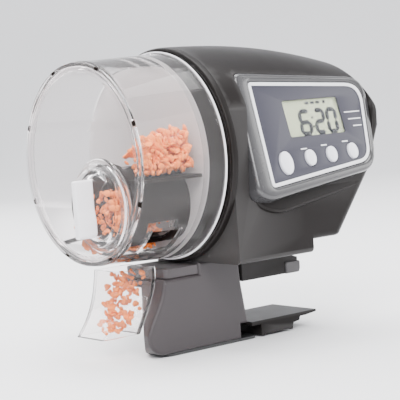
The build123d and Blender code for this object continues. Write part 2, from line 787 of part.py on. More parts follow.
with BuildPart() as tact_switches:
    for label, spot, wide, high in BUTTONS:
        with BuildSketch(on_panel(BOARD_FRONT)):
            with Locations(spot):
                Rectangle(4.6, 4.6)
        extrude(amount=1.8)
        with BuildSketch(on_panel(BOARD_FRONT + 1.8)):
            with Locations(spot):
                Circle(1.4)
        extrude(amount=0.8)
save(tact_switches, "tact_switches")

BUTTON_FOOT = BOARD_FRONT + 2.6 + BUTTON_TRAVEL + 0.2

for label, spot, wide, high in BUTTONS:
    with BuildPart() as button:
        with BuildSketch(on_panel(BUTTON_FOOT)):
            with Locations(spot):
                Ellipse(wide / 2 + 0.5, high / 2 + 0.5)
        extrude(amount=1.0)
        with BuildSketch(on_panel(BUTTON_FOOT + 1.0)):
            with Locations(spot):
                Ellipse(wide / 2, high / 2)
        extrude(amount=1.3 - BUTTON_FOOT - 1.0)
        fillet(button.faces().sort_by(Axis.Y)[0].edges(), 0.5)
    save(button, label)

# =====================================================================================
# Power: battery tray, two AA cells, contacts, springs and the cover
# =====================================================================================

CELL_R = 7.2
CELL_LENGTH = 49.2
CELL_NUB = 1.2
CELL_Y = 28.0
CELL_ROWS = ((2.4, 1), (-12.4, -1))
TRAY_X = (5.5, 61.8)
TRAY_Z = (-21.0, 11.0)
TRAY_FLOOR_Y = 19.2
TRAY_BACK_Y = HOUSING_BACK - WALL - 0.1
TRAY_WALL = 1.2
CELL_MIDDLE = (TRAY_X[0] + TRAY_X[1]) / 2

with BuildPart() as battery_tray:
    with BuildSketch(facing(TRAY_BACK_Y)):
        with Locations((CELL_MIDDLE, (TRAY_Z[0] + TRAY_Z[1]) / 2)):
            Rectangle(TRAY_X[1] - TRAY_X[0], TRAY_Z[1] - TRAY_Z[0])
    extrude(amount=TRAY_BACK_Y - TRAY_FLOOR_Y)
    with BuildSketch(facing(TRAY_BACK_Y)):
        with Locations((CELL_MIDDLE, (TRAY_Z[0] + TRAY_Z[1]) / 2)):
            Rectangle(
                TRAY_X[1] - TRAY_X[0] - 2 * TRAY_WALL, TRAY_Z[1] - TRAY_Z[0] - 2 * TRAY_WALL
            )
    extrude(amount=TRAY_BACK_Y - TRAY_FLOOR_Y - TRAY_WALL, mode=Mode.SUBTRACT)
save(battery_tray, "battery_tray")

CONTACT_THICK = 0.4
LEFT_CONTACT = TRAY_X[0] + TRAY_WALL
RIGHT_CONTACT = TRAY_X[1] - TRAY_WALL
CELL_START = {
    1: RIGHT_CONTACT - CONTACT_THICK - CELL_NUB - CELL_LENGTH,
    -1: LEFT_CONTACT + CONTACT_THICK + CELL_NUB,
}

for number, (row_z, way) in enumerate(CELL_ROWS, start=1):
    with BuildPart() as cell:
        with BuildSketch(across(CELL_START[way])):
            with Locations((CELL_Y, row_z)):
                Circle(CELL_R)
        extrude(amount=CELL_LENGTH)
        chamfer(cell.edges().filter_by(GeomType.CIRCLE), 0.5)
        nub = CELL_START[way] + CELL_LENGTH if way > 0 else CELL_START[way]
        with BuildSketch(across(nub)):
            with Locations((CELL_Y, row_z)):
                Circle(2.7)
        extrude(amount=way * CELL_NUB)
    save(cell, f"battery_{number}")

with BuildPart() as battery_contacts:
    for x, way in ((LEFT_CONTACT, 1), (RIGHT_CONTACT, -1)):
        for row_z, polarity in CELL_ROWS:
            with BuildSketch(across(x)):
                with Locations((CELL_Y, row_z)):
                    Rectangle(11, 11)
            extrude(amount=way * CONTACT_THICK)
save(battery_contacts, "battery_contacts")

SPRING_COIL_R = 3.4
SPRING_WIRE_R = 0.4
SPRING_TURNS = 3

with BuildPart() as battery_springs:
    for row_z, way in CELL_ROWS:
        if way > 0:
            start, end = LEFT_CONTACT + CONTACT_THICK, CELL_START[way]
        else:
            start, end = CELL_START[way] + CELL_LENGTH, RIGHT_CONTACT - CONTACT_THICK
        pitch = (end - start - 2 * SPRING_WIRE_R) / (SPRING_TURNS - 1)
        for turn in range(SPRING_TURNS):
            ring_x = start + SPRING_WIRE_R + turn * pitch
            with BuildSketch(facing(CELL_Y)):
                with Locations((ring_x, row_z + SPRING_COIL_R)):
                    Circle(SPRING_WIRE_R)
            spring_axis = Axis((FLANGE_X, AXIS_Y + CELL_Y, AXIS_Z + row_z), (1, 0, 0))
            revolve(axis=spring_axis)
save(battery_springs, "battery_springs")

with BuildPart() as battery_cover:
    with BuildSketch(facing(HOUSING_BACK)):
        cover_outline(0.2)
    extrude(amount=COVER_THICK - 0.6)
    with BuildSketch(facing(HOUSING_BACK - COVER_THICK + 0.6)):
        cover_outline(COVER_LEDGE + 0.2)
    extrude(amount=0.8)
    # finger grooves at the end that is prised out
    with BuildSketch(facing(HOUSING_BACK)):
        with Locations(*((COVER_X[1] - 5 - 2.2 * i, -5.0) for i in range(4))):
            SlotOverall(14, 1.0, rotation=90)
    extrude(amount=0.5, mode=Mode.SUBTRACT)
save(battery_cover, "battery_cover")

# =====================================================================================
# Base block, its plate and screws, the neck, the chute and the rim clamp
# =====================================================================================

BLOCK_FOOT = BASE_BOTTOM + 1.1
BLOCK_EDGE = 1.2
BASE_SCREWS = ((-1.5, 8.8), (-7.0, -8.8))
# the left flank runs back to the right, behind the chute and below its bracket
FLANK_FRONT = (-22.4, -10.6)
FLANK_REAR = (-3.0, 14.0)
FLANK_TOP = -47.6
SCREW_THREAD_R = 2.5
WHEEL_Z = (-71.2, -67.9)
CARRIAGE_X = (SCREW_X - 5.2, SCREW_X + 5.2)
CARRIAGE_HALF = 6.0
CARRIAGE_TOP = -59.6
CAVITY_TOP = CARRIAGE_TOP + JAW_TRAVEL + 0.6


def block_outline():
    """Draws the base block seen from the front: its left side curves along the chute."""
    Spline((-13.0, BASE_TOP - 0.1), (-14.3, -49.5), (-17.6, -56), (-21.6, -63.4))
    RadiusArc((-21.6, -63.4), (-15.2, BLOCK_FOOT), -7.0)
    Polyline(
        (-15.2, BLOCK_FOOT),
        (21.8, BLOCK_FOOT),
        (21.8, GAP_BOTTOM + 0.2),
        (25.4, GAP_BOTTOM + 0.2),
        (23.2, -50.0),
        (22.6, HOUSING_BOTTOM - 0.1),
        (HOUSING_LEFT + 0.1, HOUSING_BOTTOM - 0.1),
        (HOUSING_LEFT + 0.1, BASE_TOP - 0.1),
        (-13.0, BASE_TOP - 0.1),
    )


with BuildPart() as base_block:
    with BuildSketch(facing(BASE_HALF_DEPTH)):
        with BuildLine():
            block_outline()
        make_face()
    extrude(amount=2 * BASE_HALF_DEPTH)
    fillet(base_block.faces().filter_by(Axis.Y).edges(), BLOCK_EDGE)
    # the room for the carriage on the screw, and the slot its arm comes out of
    with BuildSketch(level(BLOCK_FOOT)):
        with Locations((SCREW_X, 0)):
            Rectangle(2 * (CARRIAGE_X[1] - SCREW_X + FREE), 2 * (CARRIAGE_HALF + FREE))
    extrude(amount=CAVITY_TOP - BLOCK_FOOT, mode=Mode.SUBTRACT)
    with BuildSketch(facing(4.4)):
        with Locations((SCREW_X + 10, (BLOCK_FOOT + CAVITY_TOP) / 2)):
            Rectangle(20, CAVITY_TOP - BLOCK_FOOT)
    extrude(amount=8.8, mode=Mode.SUBTRACT)
    # the slot that the thumbwheel turns in
    with BuildSketch(level(BLOCK_FOOT)):
        with Locations((SCREW_X, 0)):
            Circle(WHEEL_R + 0.3)
    extrude(amount=WHEEL_Z[1] + FREE - BLOCK_FOOT, mode=Mode.SUBTRACT)
    # the room in the left half, which leaves walls and the posts for the screws
    with BuildSketch(level(BLOCK_FOOT)):
        with Locations((-5.0, 0)):
            Rectangle(6.0, 10)
    extrude(amount=20, mode=Mode.SUBTRACT)
    with BuildSketch(level(BLOCK_FOOT - 1)):
        with BuildLine():
            Polyline(FLANK_FRONT, FLANK_REAR, (-34, FLANK_REAR[1]), (-34, FLANK_FRONT[1]), close=True)
        make_face()
    extrude(amount=FLANK_TOP - BLOCK_FOOT + 1, mode=Mode.SUBTRACT)
    with BuildSketch(level(CAVITY_TOP - 1)):
        with Locations((SCREW_X, 0)):
            Circle(SCREW_THREAD_R + RUN)
    extrude(amount=BASE_TOP - CAVITY_TOP + 2, mode=Mode.SUBTRACT)
    with BuildSketch(level(BASE_TOP)):
        with Locations((-8.0, 0)):
            Rectangle(12.0, 12.4)
    extrude(amount=-1.4, mode=Mode.SUBTRACT)
    with BuildSketch(level(BLOCK_FOOT)):
        with Locations(*BASE_SCREWS):
            Circle(SCREW_R + RUN)
    extrude(amount=12, mode=Mode.SUBTRACT)
save(base_block, "base_block")

with BuildPart() as base_plate:
    with BuildSketch(level(BASE_BOTTOM)):
        with Locations((8.3, 0)):
            RectangleRounded(43.8, 2 * BASE_HALF_DEPTH - 1.2, 3)
        with BuildLine():
            Polyline(
                (FLANK_FRONT[0] + 0.8, FLANK_FRONT[1]),
                (FLANK_REAR[0] + 0.8, FLANK_REAR[1]),
                (-34, FLANK_REAR[1]),
                (-34, FLANK_FRONT[1]),
                close=True,
            )
        make_face(mode=Mode.SUBTRACT)
        with Locations((SCREW_X, 0)):
            Circle(1.8 + RUN, mode=Mode.SUBTRACT)
        with Locations(*BASE_SCREWS):
            Circle(2.5, mode=Mode.SUBTRACT)
    extrude(amount=1.1)
save(base_plate, "base_plate")

with BuildPart() as base_screws:
    with BuildSketch(level(BASE_BOTTOM + 0.1)):
        with Locations(*BASE_SCREWS):
            Circle(2.4)
            Rectangle(2.8, 0.6, mode=Mode.SUBTRACT)
            Rectangle(0.6, 2.8, mode=Mode.SUBTRACT)
    extrude(amount=0.6)
    with BuildSketch(level(BASE_BOTTOM + 0.7)):
        with Locations(*BASE_SCREWS):
            Circle(2.4)
    extrude(amount=0.4)
    with BuildSketch(level(BASE_BOTTOM + 1.1)):
        with Locations(*BASE_SCREWS):
            Circle(SCREW_R)
    extrude(amount=9)
save(base_screws, "base_screws")

NECK_TOP = -40.4
NECK_LEFT = -12.0

with BuildPart() as base_neck:
    with BuildSketch(level(BASE_TOP)):
        with Locations(((HOUSING_LEFT + NECK_LEFT) / 2, 0)):
            Rectangle(HOUSING_LEFT - NECK_LEFT, 2 * BASE_HALF_DEPTH - 1)
    extrude(amount=NECK_TOP - BASE_TOP)
    fillet(base_neck.faces().sort_by(Axis.X)[0].edges().filter_by(Axis.Z), 2)
save(base_neck, "base_neck")

CHUTE_TOP = -39.4
CHUTE_HALF = 9.0
CHUTE_WALL = 1.2


def chute_side(points, shift):
    """Draws one curved side of the chute, moved sideways by shift."""
    Spline(*((x + shift, z) for x, z in points))


CHUTE_LEFT = ((-29.2, CHUTE_TOP), (-31.0, -48.5), (-33.8, -55.5), (-38.8, -62.6))
CHUTE_RIGHT = ((-12.9, CHUTE_TOP), (-14.8, -49.5), (-18.0, -56.0), (-21.7, -62.6))

with BuildPart() as food_chute:
    with BuildSketch(facing(CHUTE_HALF)):
        with BuildLine():
            chute_side(CHUTE_LEFT, 0)
            chute_side(CHUTE_RIGHT, 0)
            Line(CHUTE_LEFT[0], CHUTE_RIGHT[0])
            Line(CHUTE_LEFT[-1], CHUTE_RIGHT[-1])
        make_face()
    extrude(amount=2 * CHUTE_HALF)
    with BuildSketch(facing(CHUTE_HALF - CHUTE_WALL)):
        with BuildLine():
            chute_side(CHUTE_LEFT, CHUTE_WALL)
            chute_side(CHUTE_RIGHT, -CHUTE_WALL)
            Line(
                (CHUTE_LEFT[0][0] + CHUTE_WALL, CHUTE_TOP),
                (CHUTE_RIGHT[0][0] - CHUTE_WALL, CHUTE_TOP),
            )
            Line(
                (CHUTE_LEFT[-1][0] + CHUTE_WALL, CHUTE_LEFT[-1][1]),
                (CHUTE_RIGHT[-1][0] - CHUTE_WALL, CHUTE_RIGHT[-1][1]),
            )
        make_face()
    extrude(amount=2 * (CHUTE_HALF - CHUTE_WALL), mode=Mode.SUBTRACT)
    # the tongue that the block and the neck hold
    with BuildSketch(level(BASE_TOP - 1.2)):
        with Locations((-8.4, 0)):
            Rectangle(11.0, 12)
    extrude(amount=1.1)
save(food_chute, "food_chute")

UPPER_JAW_X = (23.8, 52.8)
JAW_SHELF = -43.6
RIBS_END = 45.6

with BuildPart() as upper_jaw:
    with BuildSketch(facing(JAW_HALF_DEPTH)):
        with BuildLine():
            Polyline(
                (UPPER_JAW_X[0], JAW_SHELF - 1.8),
                (UPPER_JAW_X[1] - 0.4, JAW_SHELF - 1.8),
                (UPPER_JAW_X[1] - 0.4, JAW_SHELF - 0.4),
                (DEEP_END - 0.6, HOUSING_BOTTOM - 0.1),
                (UPPER_JAW_X[0], HOUSING_BOTTOM - 0.1),
                close=True,
            )
        make_face()
    extrude(amount=2 * JAW_HALF_DEPTH)
    with BuildSketch(level(JAW_SHELF - 1.8)):
        with Locations(*((UPPER_JAW_X[0] + 0.9 + 3.36 * i, 0) for i in range(7))):
            Rectangle(1.4, 2 * JAW_HALF_DEPTH)
        with Locations((34.6, JAW_HALF_DEPTH - 0.7), (34.6, 0.7 - JAW_HALF_DEPTH)):
            Rectangle(21.6, 1.4)
    extrude(amount=GAP_TOP - JAW_SHELF + 2.0)
save(upper_jaw, "upper_jaw")

with BuildPart() as upper_jaw_pad:
    with BuildSketch(facing(JAW_HALF_DEPTH + 0.5)):
        with BuildLine():
            Polyline(
                (RIBS_END + 0.2, GAP_TOP),
                (UPPER_JAW_X[1], GAP_TOP),
                (UPPER_JAW_X[1] + 0.6, GAP_TOP + 1.4),
                (UPPER_JAW_X[1] + 0.6, JAW_SHELF - 1.9),
                (RIBS_END + 0.2, JAW_SHELF - 1.9),
                close=True,
            )
        make_face()
    extrude(amount=2 * JAW_HALF_DEPTH + 1)
save(upper_jaw_pad, "upper_jaw_pad")

TONGUE_TIP = 60.6
TONGUE_THICK = 1.5

with BuildPart() as lower_jaw:
    with BuildSketch(facing(JAW_HALF_DEPTH)):
        with BuildLine():
            Polyline(
                (27.0, GAP_BOTTOM),
                (TONGUE_TIP, GAP_BOTTOM),
                (TONGUE_TIP, GAP_BOTTOM - 0.9),
                (55.0, GAP_BOTTOM - TONGUE_THICK),
                (52.0, GAP_BOTTOM - TONGUE_THICK),
                (51.4, -69.0),
                (48.4, -69.4),
                (47.7, -71.9),
                (46.2, -71.9),
                (46.2, GAP_BOTTOM - TONGUE_THICK),
                (27.0, GAP_BOTTOM - TONGUE_THICK),
                close=True,
            )
        make_face()
    extrude(amount=2 * JAW_HALF_DEPTH)
    # ribs under the tongue
    for rib_y in (-12.3, -6.2, 0, 6.2, 12.3):
        with BuildSketch(facing(rib_y + 0.7)):
            with Locations((39.1, -69.4)):
                Rectangle(14.6, 4.4)
        extrude(amount=1.4)
    with BuildSketch(facing(JAW_HALF_DEPTH)):
        with Locations((32.4, -69.6)):
            Rectangle(1.6, 4.8)
    extrude(amount=2 * JAW_HALF_DEPTH)
    # the arm and the carriage that ride on the screw
    with BuildSketch(facing(4.0)):
        with Locations((24.0, GAP_BOTTOM - TONGUE_THICK / 2)):
            Rectangle(12.0, TONGUE_THICK)
    extrude(amount=8)
    with BuildSketch(level(GAP_BOTTOM - TONGUE_THICK)):
        with Locations((SCREW_X, 0)):
            Rectangle(CARRIAGE_X[1] - CARRIAGE_X[0], 2 * CARRIAGE_HALF)
    extrude(amount=CARRIAGE_TOP - GAP_BOTTOM + TONGUE_THICK)
    with BuildSketch(level(BASE_BOTTOM)):
        with Locations((SCREW_X, 0)):
            Circle(SCREW_THREAD_R + RUN)
    extrude(amount=40, mode=Mode.SUBTRACT)
save(lower_jaw, "lower_jaw")

with BuildPart() as clamp_screw:
    with BuildSketch(level(WHEEL_Z[1])):
        with Locations((SCREW_X, 0)):
            Circle(SCREW_THREAD_R)
    extrude(amount=BASE_TOP - 0.8 - WHEEL_Z[1])
    with BuildSketch(level(WHEEL_Z[1])):
        with Locations((SCREW_X, 0)):
            Circle(1.8)
    extrude(amount=BASE_BOTTOM + 0.2 - WHEEL_Z[1])
save(clamp_screw, "clamp_screw")

KNURLS = 36

with BuildPart() as clamp_thumbwheel:
    with BuildSketch(level(WHEEL_Z[0])):
        with Locations((SCREW_X, 0)):
            Circle(WHEEL_R)
            with PolarLocations(WHEEL_R, KNURLS):
                Circle(0.7, mode=Mode.SUBTRACT)
            Circle(1.8, mode=Mode.SUBTRACT)
    extrude(amount=WHEEL_Z[1] - WHEEL_Z[0])
save(clamp_thumbwheel, "clamp_thumbwheel")
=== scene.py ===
"""Looks of the automatic fish feeder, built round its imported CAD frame. Metres, +Z up."""

import json
import math
import random

import bmesh
import bpy
from mathutils import Matrix, Quaternion, Vector


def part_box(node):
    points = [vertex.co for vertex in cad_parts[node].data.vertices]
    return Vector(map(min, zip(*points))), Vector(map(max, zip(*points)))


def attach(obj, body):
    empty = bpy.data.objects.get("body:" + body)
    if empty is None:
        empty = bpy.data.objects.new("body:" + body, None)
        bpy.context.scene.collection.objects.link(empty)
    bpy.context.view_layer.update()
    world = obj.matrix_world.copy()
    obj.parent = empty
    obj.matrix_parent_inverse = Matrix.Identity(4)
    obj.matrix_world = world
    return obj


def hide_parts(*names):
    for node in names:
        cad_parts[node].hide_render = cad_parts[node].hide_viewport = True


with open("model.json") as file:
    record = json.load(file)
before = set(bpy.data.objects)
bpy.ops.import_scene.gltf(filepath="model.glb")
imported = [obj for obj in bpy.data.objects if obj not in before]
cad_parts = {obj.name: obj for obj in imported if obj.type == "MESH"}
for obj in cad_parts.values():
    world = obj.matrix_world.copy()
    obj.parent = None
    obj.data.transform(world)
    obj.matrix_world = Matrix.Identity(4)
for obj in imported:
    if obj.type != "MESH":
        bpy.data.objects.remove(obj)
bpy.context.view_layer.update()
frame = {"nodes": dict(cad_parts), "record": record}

MM = 0.001
DRUM_LOW, DRUM_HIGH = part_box("drum_shell")
# the middle of the drum's back flange plus 0.6 mm, which local places are measured from
ORIGIN = Vector((DRUM_HIGH.x + 0.6 * MM, (DRUM_LOW.y + DRUM_HIGH.y) / 2, (DRUM_LOW.z + DRUM_HIGH.z) / 2))
DIAL = (-12.0, -15.0)
LEAN = math.radians(17)


def at(x, y, z):
    """The place, in metres, of local millimetres from ORIGIN."""
    return ORIGIN + Vector((x, y, z)) * MM


# ------------------------------------------------------------------ materials


def nodes_of(material):
    """The node tree's nodes and links of a material."""
    material.use_nodes = True
    return material.node_tree.nodes, material.node_tree.links


def surface(
    name, colour, rough, metal=0.0, shade=0.06, patch=60.0, grain=2600.0, bump=0.25,
    rough_spread=0.06, depth=0.00004, edge=0.0, coat=0.0, streak=None, sheen=0.0, spec=0.5,
):
    """An opaque material whose colour, roughness and relief vary with the place on the piece."""
    material = bpy.data.materials.new(name)
    nodes, links = nodes_of(material)
    shader = nodes["Principled BSDF"]
    shader.inputs["Metallic"].default_value = metal
    shader.inputs["Coat Weight"].default_value = coat
    shader.inputs["Coat Roughness"].default_value = 0.12
    shader.inputs["Sheen Weight"].default_value = sheen
    shader.inputs["Specular IOR Level"].default_value = spec
    place = nodes.new("ShaderNodeTexCoord")
    spot = place.outputs["Object"]
    if streak:
        stretch = nodes.new("ShaderNodeMapping")
        stretch.inputs["Scale"].default_value = streak
        links.new(spot, stretch.inputs["Vector"])
        spot = stretch.outputs["Vector"]
    broad = nodes.new("ShaderNodeTexNoise")
    broad.inputs["Scale"].default_value = patch
    broad.inputs["Detail"].default_value = 4
    links.new(spot, broad.inputs["Vector"])
    fine = nodes.new("ShaderNodeTexNoise")
    fine.inputs["Scale"].default_value = grain
    fine.inputs["Detail"].default_value = 3
    links.new(spot, fine.inputs["Vector"])
    tone = nodes.new("ShaderNodeMix")
    tone.data_type = "RGBA"
    tone.inputs["A"].default_value = (*[c * (1 - shade) for c in colour], 1)
    tone.inputs["B"].default_value = (*[min(1, c * (1 + shade)) for c in colour], 1)
    links.new(broad.outputs["Fac"], tone.inputs["Factor"])
    out = tone.outputs["Result"]
    # convex edges get a lighter colour by pointiness: partly wear, partly a painted highlight along the edges
    if edge:
        geometry = nodes.new("ShaderNodeNewGeometry")
        ramp = nodes.new("ShaderNodeMapRange")
        ramp.inputs["From Min"].default_value = 0.52
        ramp.inputs["From Max"].default_value = 0.62
        ramp.inputs["To Max"].default_value = edge
        links.new(geometry.outputs["Pointiness"], ramp.inputs["Value"])
        edge_wear_and_highlight = nodes.new("ShaderNodeMix")
        edge_wear_and_highlight.data_type = "RGBA"
        edge_wear_and_highlight.inputs["B"].default_value = (*[min(1, c * 1.6 + 0.05) for c in colour], 1)
        links.new(out, edge_wear_and_highlight.inputs["A"])
        links.new(ramp.outputs["Result"], edge_wear_and_highlight.inputs["Factor"])
        out = edge_wear_and_highlight.outputs["Result"]
    links.new(out, shader.inputs["Base Color"])
    gloss = nodes.new("ShaderNodeMapRange")
    gloss.inputs["To Min"].default_value = max(0.02, rough - rough_spread)
    gloss.inputs["To Max"].default_value = min(1, rough + rough_spread)
    links.new(broad.outputs["Fac"], gloss.inputs["Value"])
    links.new(gloss.outputs["Result"], shader.inputs["Roughness"])
    relief = nodes.new("ShaderNodeBump")
    relief.inputs["Strength"].default_value = bump
    relief.inputs["Distance"].default_value = depth
    links.new(fine.outputs["Fac"], relief.inputs["Height"])
    links.new(relief.outputs["Normal"], shader.inputs["Normal"])
    return material


def clear(name, colour, rough, ior, share=1.0):
    """A moulded plastic with faint moulding waves, see-through for that share of its light."""
    material = bpy.data.materials.new(name)
    nodes, links = nodes_of(material)
    shader = nodes["Principled BSDF"]
    shader.inputs["Transmission Weight"].default_value = share
    shader.inputs["IOR"].default_value = ior
    place = nodes.new("ShaderNodeTexCoord")
    waves = nodes.new("ShaderNodeTexNoise")
    waves.inputs["Scale"].default_value = 90
    waves.inputs["Detail"].default_value = 2
    links.new(place.outputs["Object"], waves.inputs["Vector"])
    tone = nodes.new("ShaderNodeMix")
    tone.data_type = "RGBA"
    tone.inputs["A"].default_value = (*colour, 1)
    tone.inputs["B"].default_value = (*[c * 0.985 for c in colour], 1)
    links.new(waves.outputs["Fac"], tone.inputs["Factor"])
    links.new(tone.outputs["Result"], shader.inputs["Base Color"])
    gloss = nodes.new("ShaderNodeMapRange")
    gloss.inputs["To Min"].default_value = rough
    gloss.inputs["To Max"].default_value = rough + 0.02
    links.new(waves.outputs["Fac"], gloss.inputs["Value"])
    links.new(gloss.outputs["Result"], shader.inputs["Roughness"])
    relief = nodes.new("ShaderNodeBump")
    relief.inputs["Strength"].default_value = 0.05
    relief.inputs["Distance"].default_value = 0.0002
    links.new(waves.outputs["Fac"], relief.inputs["Height"])
    links.new(relief.outputs["Normal"], shader.inputs["Normal"])
    return material


SLOTS = {
    "clear_plastic": clear("clear_plastic", (0.95, 0.93, 0.93), 0.03, 1.20, share=0.985),
    "smoke_plastic": clear("smoke_plastic", (0.010, 0.007, 0.006), 0.30, 1.05, share=0.15),
    "lens": clear("lens", (0.99, 1.0, 0.99), 0.01, 1.12),
    "frosted_white": surface("frosted_white", (0.86, 0.84, 0.87), 0.42, shade=0.03, bump=0.15, coat=0.2),
    # edge sets the lighter colour on convex edges: partly wear, partly painted highlight
    "housing_plastic": surface(
        "housing_plastic", (0.0090, 0.0074, 0.0070), 0.36,
        shade=0.10, grain=3400, bump=0.20, edge=0.5, spec=0.12,
    ),
    # the bezel is the housing's charcoal plastic painted lighter: a painted highlight on the rounded frame
    "bezel_painted_highlight_plastic": surface(
        "bezel_painted_highlight_plastic", (0.040, 0.039, 0.041), 0.26, shade=0.08, grain=3400, bump=0.15, edge=0.6, coat=0.35,
    ),
    "base_plastic": surface(
        "base_plastic", (0.042, 0.036, 0.038), 0.42, shade=0.08, grain=3000, bump=0.3, edge=0.5, spec=0.35,
    ),
    "panel_film": surface("panel_film", (0.026, 0.025, 0.040), 0.42, shade=0.06, grain=5200, bump=0.12),
    "white_print": surface("white_print", (0.80, 0.80, 0.82), 0.38, shade=0.03, grain=4200, bump=0.06),
    "lcd_glass": surface("lcd_glass", (0.565, 0.605, 0.415), 0.34, shade=0.05, patch=140, bump=0.02),
    "button_plastic": surface("button_plastic", (0.80, 0.80, 0.87), 0.26, shade=0.03, bump=0.06, coat=0.4),
    "gear_plastic": surface("gear_plastic", (0.78, 0.75, 0.66), 0.48, shade=0.05, bump=0.2),
    "dark_plastic": surface(
        "dark_plastic", (0.020, 0.020, 0.021), 0.42, shade=0.12, grain=3400, bump=0.3, edge=0.4,
    ),
    "board": surface("board", (0.018, 0.125, 0.045), 0.30, shade=0.12, patch=900, bump=0.1, coat=0.5),
    "steel": surface(
        "steel", (0.52, 0.52, 0.53), 0.30, metal=1.0, shade=0.08, grain=1800, bump=0.2, streak=(1, 1, 14),
    ),
    "nickel": surface("nickel", (0.72, 0.70, 0.65), 0.16, metal=1.0, shade=0.05, patch=300, bump=0.05),
    "bronze": surface("bronze", (0.50, 0.34, 0.16), 0.42, metal=1.0, shade=0.10, grain=5200, bump=0.35),
    "rubber": surface("rubber", (0.060, 0.056, 0.058), 0.62, shade=0.08, grain=2600, bump=0.4, sheen=0.1),
}
# a grey, half-clear plastic for the drum's back wall: a painted reflection of the lamps
BACK_WALL_PAINTED_REFLECTION = clear("drum_back_painted_reflection", (0.56, 0.53, 0.53), 0.28, 1.20, share=0.50)
INK = surface("display_ink", (0.018, 0.020, 0.028), 0.34, shade=0.05, bump=0.02)


def sleeve_material():
    """The printed sleeve of a dry cell: a dark band and a light one, with a thin line between."""
    material = bpy.data.materials.new("cell_jacket")
    nodes, links = nodes_of(material)
    shader = nodes["Principled BSDF"]
    shader.inputs["Metallic"].default_value = 0.35
    shader.inputs["Coat Weight"].default_value = 0.6
    place = nodes.new("ShaderNodeTexCoord")
    parts = nodes.new("ShaderNodeSeparateXYZ")
    links.new(place.outputs["Generated"], parts.inputs["Vector"])
    ramp = nodes.new("ShaderNodeValToRGB")
    ramp.color_ramp.interpolation = "CONSTANT"
    bands = ((0.0, (0.72, 0.72, 0.70)), (0.03, (0.05, 0.055, 0.06)), (0.66, (0.80, 0.80, 0.80)))
    bands += ((0.685, (0.55, 0.43, 0.22)), (0.955, (0.72, 0.72, 0.70)))
    for index, (stop, colour) in enumerate(bands):
        if index < 2:
            element = ramp.color_ramp.elements[index]
            element.position = stop
        else:
            element = ramp.color_ramp.elements.new(stop)
        element.color = (*colour, 1)
    links.new(parts.outputs["X"], ramp.inputs["Fac"])
    links.new(ramp.outputs["Color"], shader.inputs["Base Color"])
    scuffs = nodes.new("ShaderNodeTexNoise")
    scuffs.inputs["Scale"].default_value = 400
    links.new(place.outputs["Object"], scuffs.inputs["Vector"])
    gloss = nodes.new("ShaderNodeMapRange")
    gloss.inputs["To Min"].default_value = 0.22
    gloss.inputs["To Max"].default_value = 0.38
    links.new(scuffs.outputs["Fac"], gloss.inputs["Value"])
    links.new(gloss.outputs["Result"], shader.inputs["Roughness"])
    return material


SLOTS["cell_jacket"] = sleeve_material()


# ------------------------------------------------------------------ mesh helpers


def soften(points, radius, steps=3):
    """A closed outline with each corner turned into a short curve of about that radius."""
    result = []
    count = len(points)
    for i, point in enumerate(points):
        own = point[2] if len(point) > 2 else radius
        here = Vector(point[:2])
        before = Vector(points[i - 1][:2]) - here
        after = Vector(points[(i + 1) % count][:2]) - here
        reach = min(own, 0.48 * before.length, 0.48 * after.length)
        if reach < 1e-4:
            result.append(tuple(here))
            continue
        first = here + before.normalized() * reach
        last = here + after.normalized() * reach
        for k in range(steps + 1):
            t = k / steps
            spot = first * (1 - t) ** 2 + here * 2 * t * (1 - t) + last * t * t
            result.append(tuple(spot))
    return result


def oval(middle, wide, high, steps=40):
    """A closed ellipse outline."""
    turn = [2 * math.pi * i / steps for i in range(steps)]
    return [(middle[0] + wide / 2 * math.cos(t), middle[1] + high / 2 * math.sin(t)) for t in turn]


def piece(name, mesh_source, body, slot, material=None, replaces=(), crease=38):
    """Makes a named piece from a bmesh or a mesh, smooth but for its real edges, and mounts it."""
    if isinstance(mesh_source, bmesh.types.BMesh):
        mesh = bpy.data.meshes.new(name)
        bmesh.ops.remove_doubles(mesh_source, verts=mesh_source.verts, dist=2e-7)
        bmesh.ops.dissolve_degenerate(mesh_source, edges=mesh_source.edges, dist=1e-7)
        bmesh.ops.recalc_face_normals(mesh_source, faces=mesh_source.faces)
        mesh_source.to_mesh(mesh)
        mesh_source.free()
    else:
        mesh = mesh_source
    obj = bpy.data.objects.new(name, mesh)
    bpy.context.scene.collection.objects.link(obj)
    mesh.materials.clear()
    for one in material if isinstance(material, (list, tuple)) else [material or SLOTS[slot]]:
        mesh.materials.append(one)
    mesh.polygons.foreach_set("use_smooth", [True] * len(mesh.polygons))
    mesh.set_sharp_from_angle(angle=math.radians(crease))
    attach(obj, body)
    if replaces:
        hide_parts(*replaces)
    return obj


def bridge(bm, one, two):
    """The faces between two closed rings of as many corners."""
    count = len(one)
    turned = [(k, (k + 1) % count) for k in range(count)]
    return [bm.faces.new((one[k], one[m], two[m], two[k])) for k, m in turned]


def gather(shapes):
    """One bmesh of all the shapes, which are used up."""
    whole = bmesh.new()
    for shape in shapes:
        moved = bpy.data.meshes.new("gathered")
        shape.to_mesh(moved)
        shape.free()
        whole.from_mesh(moved)
        bpy.data.meshes.remove(moved)
    return whole


def lathe(profile, centre=(0, 0), steps=144, into=None):
    """A solid of revolution round the X axis through centre, from a closed profile of (x, r)."""
    bm = into or bmesh.new()
    rings = []
    for i in range(steps):
        turn = 2 * math.pi * i / steps
        y, z = math.cos(turn), math.sin(turn)
        rings.append([bm.verts.new(at(x, centre[0] + r * y, centre[1] + r * z)) for x, r in profile])
    count = len(profile)
    for i in range(steps):
        one, two = rings[i], rings[(i + 1) % steps]
        for k in range(count):
            m = (k + 1) % count
            if profile[k][1] < 1e-6 and profile[m][1] < 1e-6:
                continue
            bm.faces.new((one[k], one[m], two[m], two[k]))
    return bm


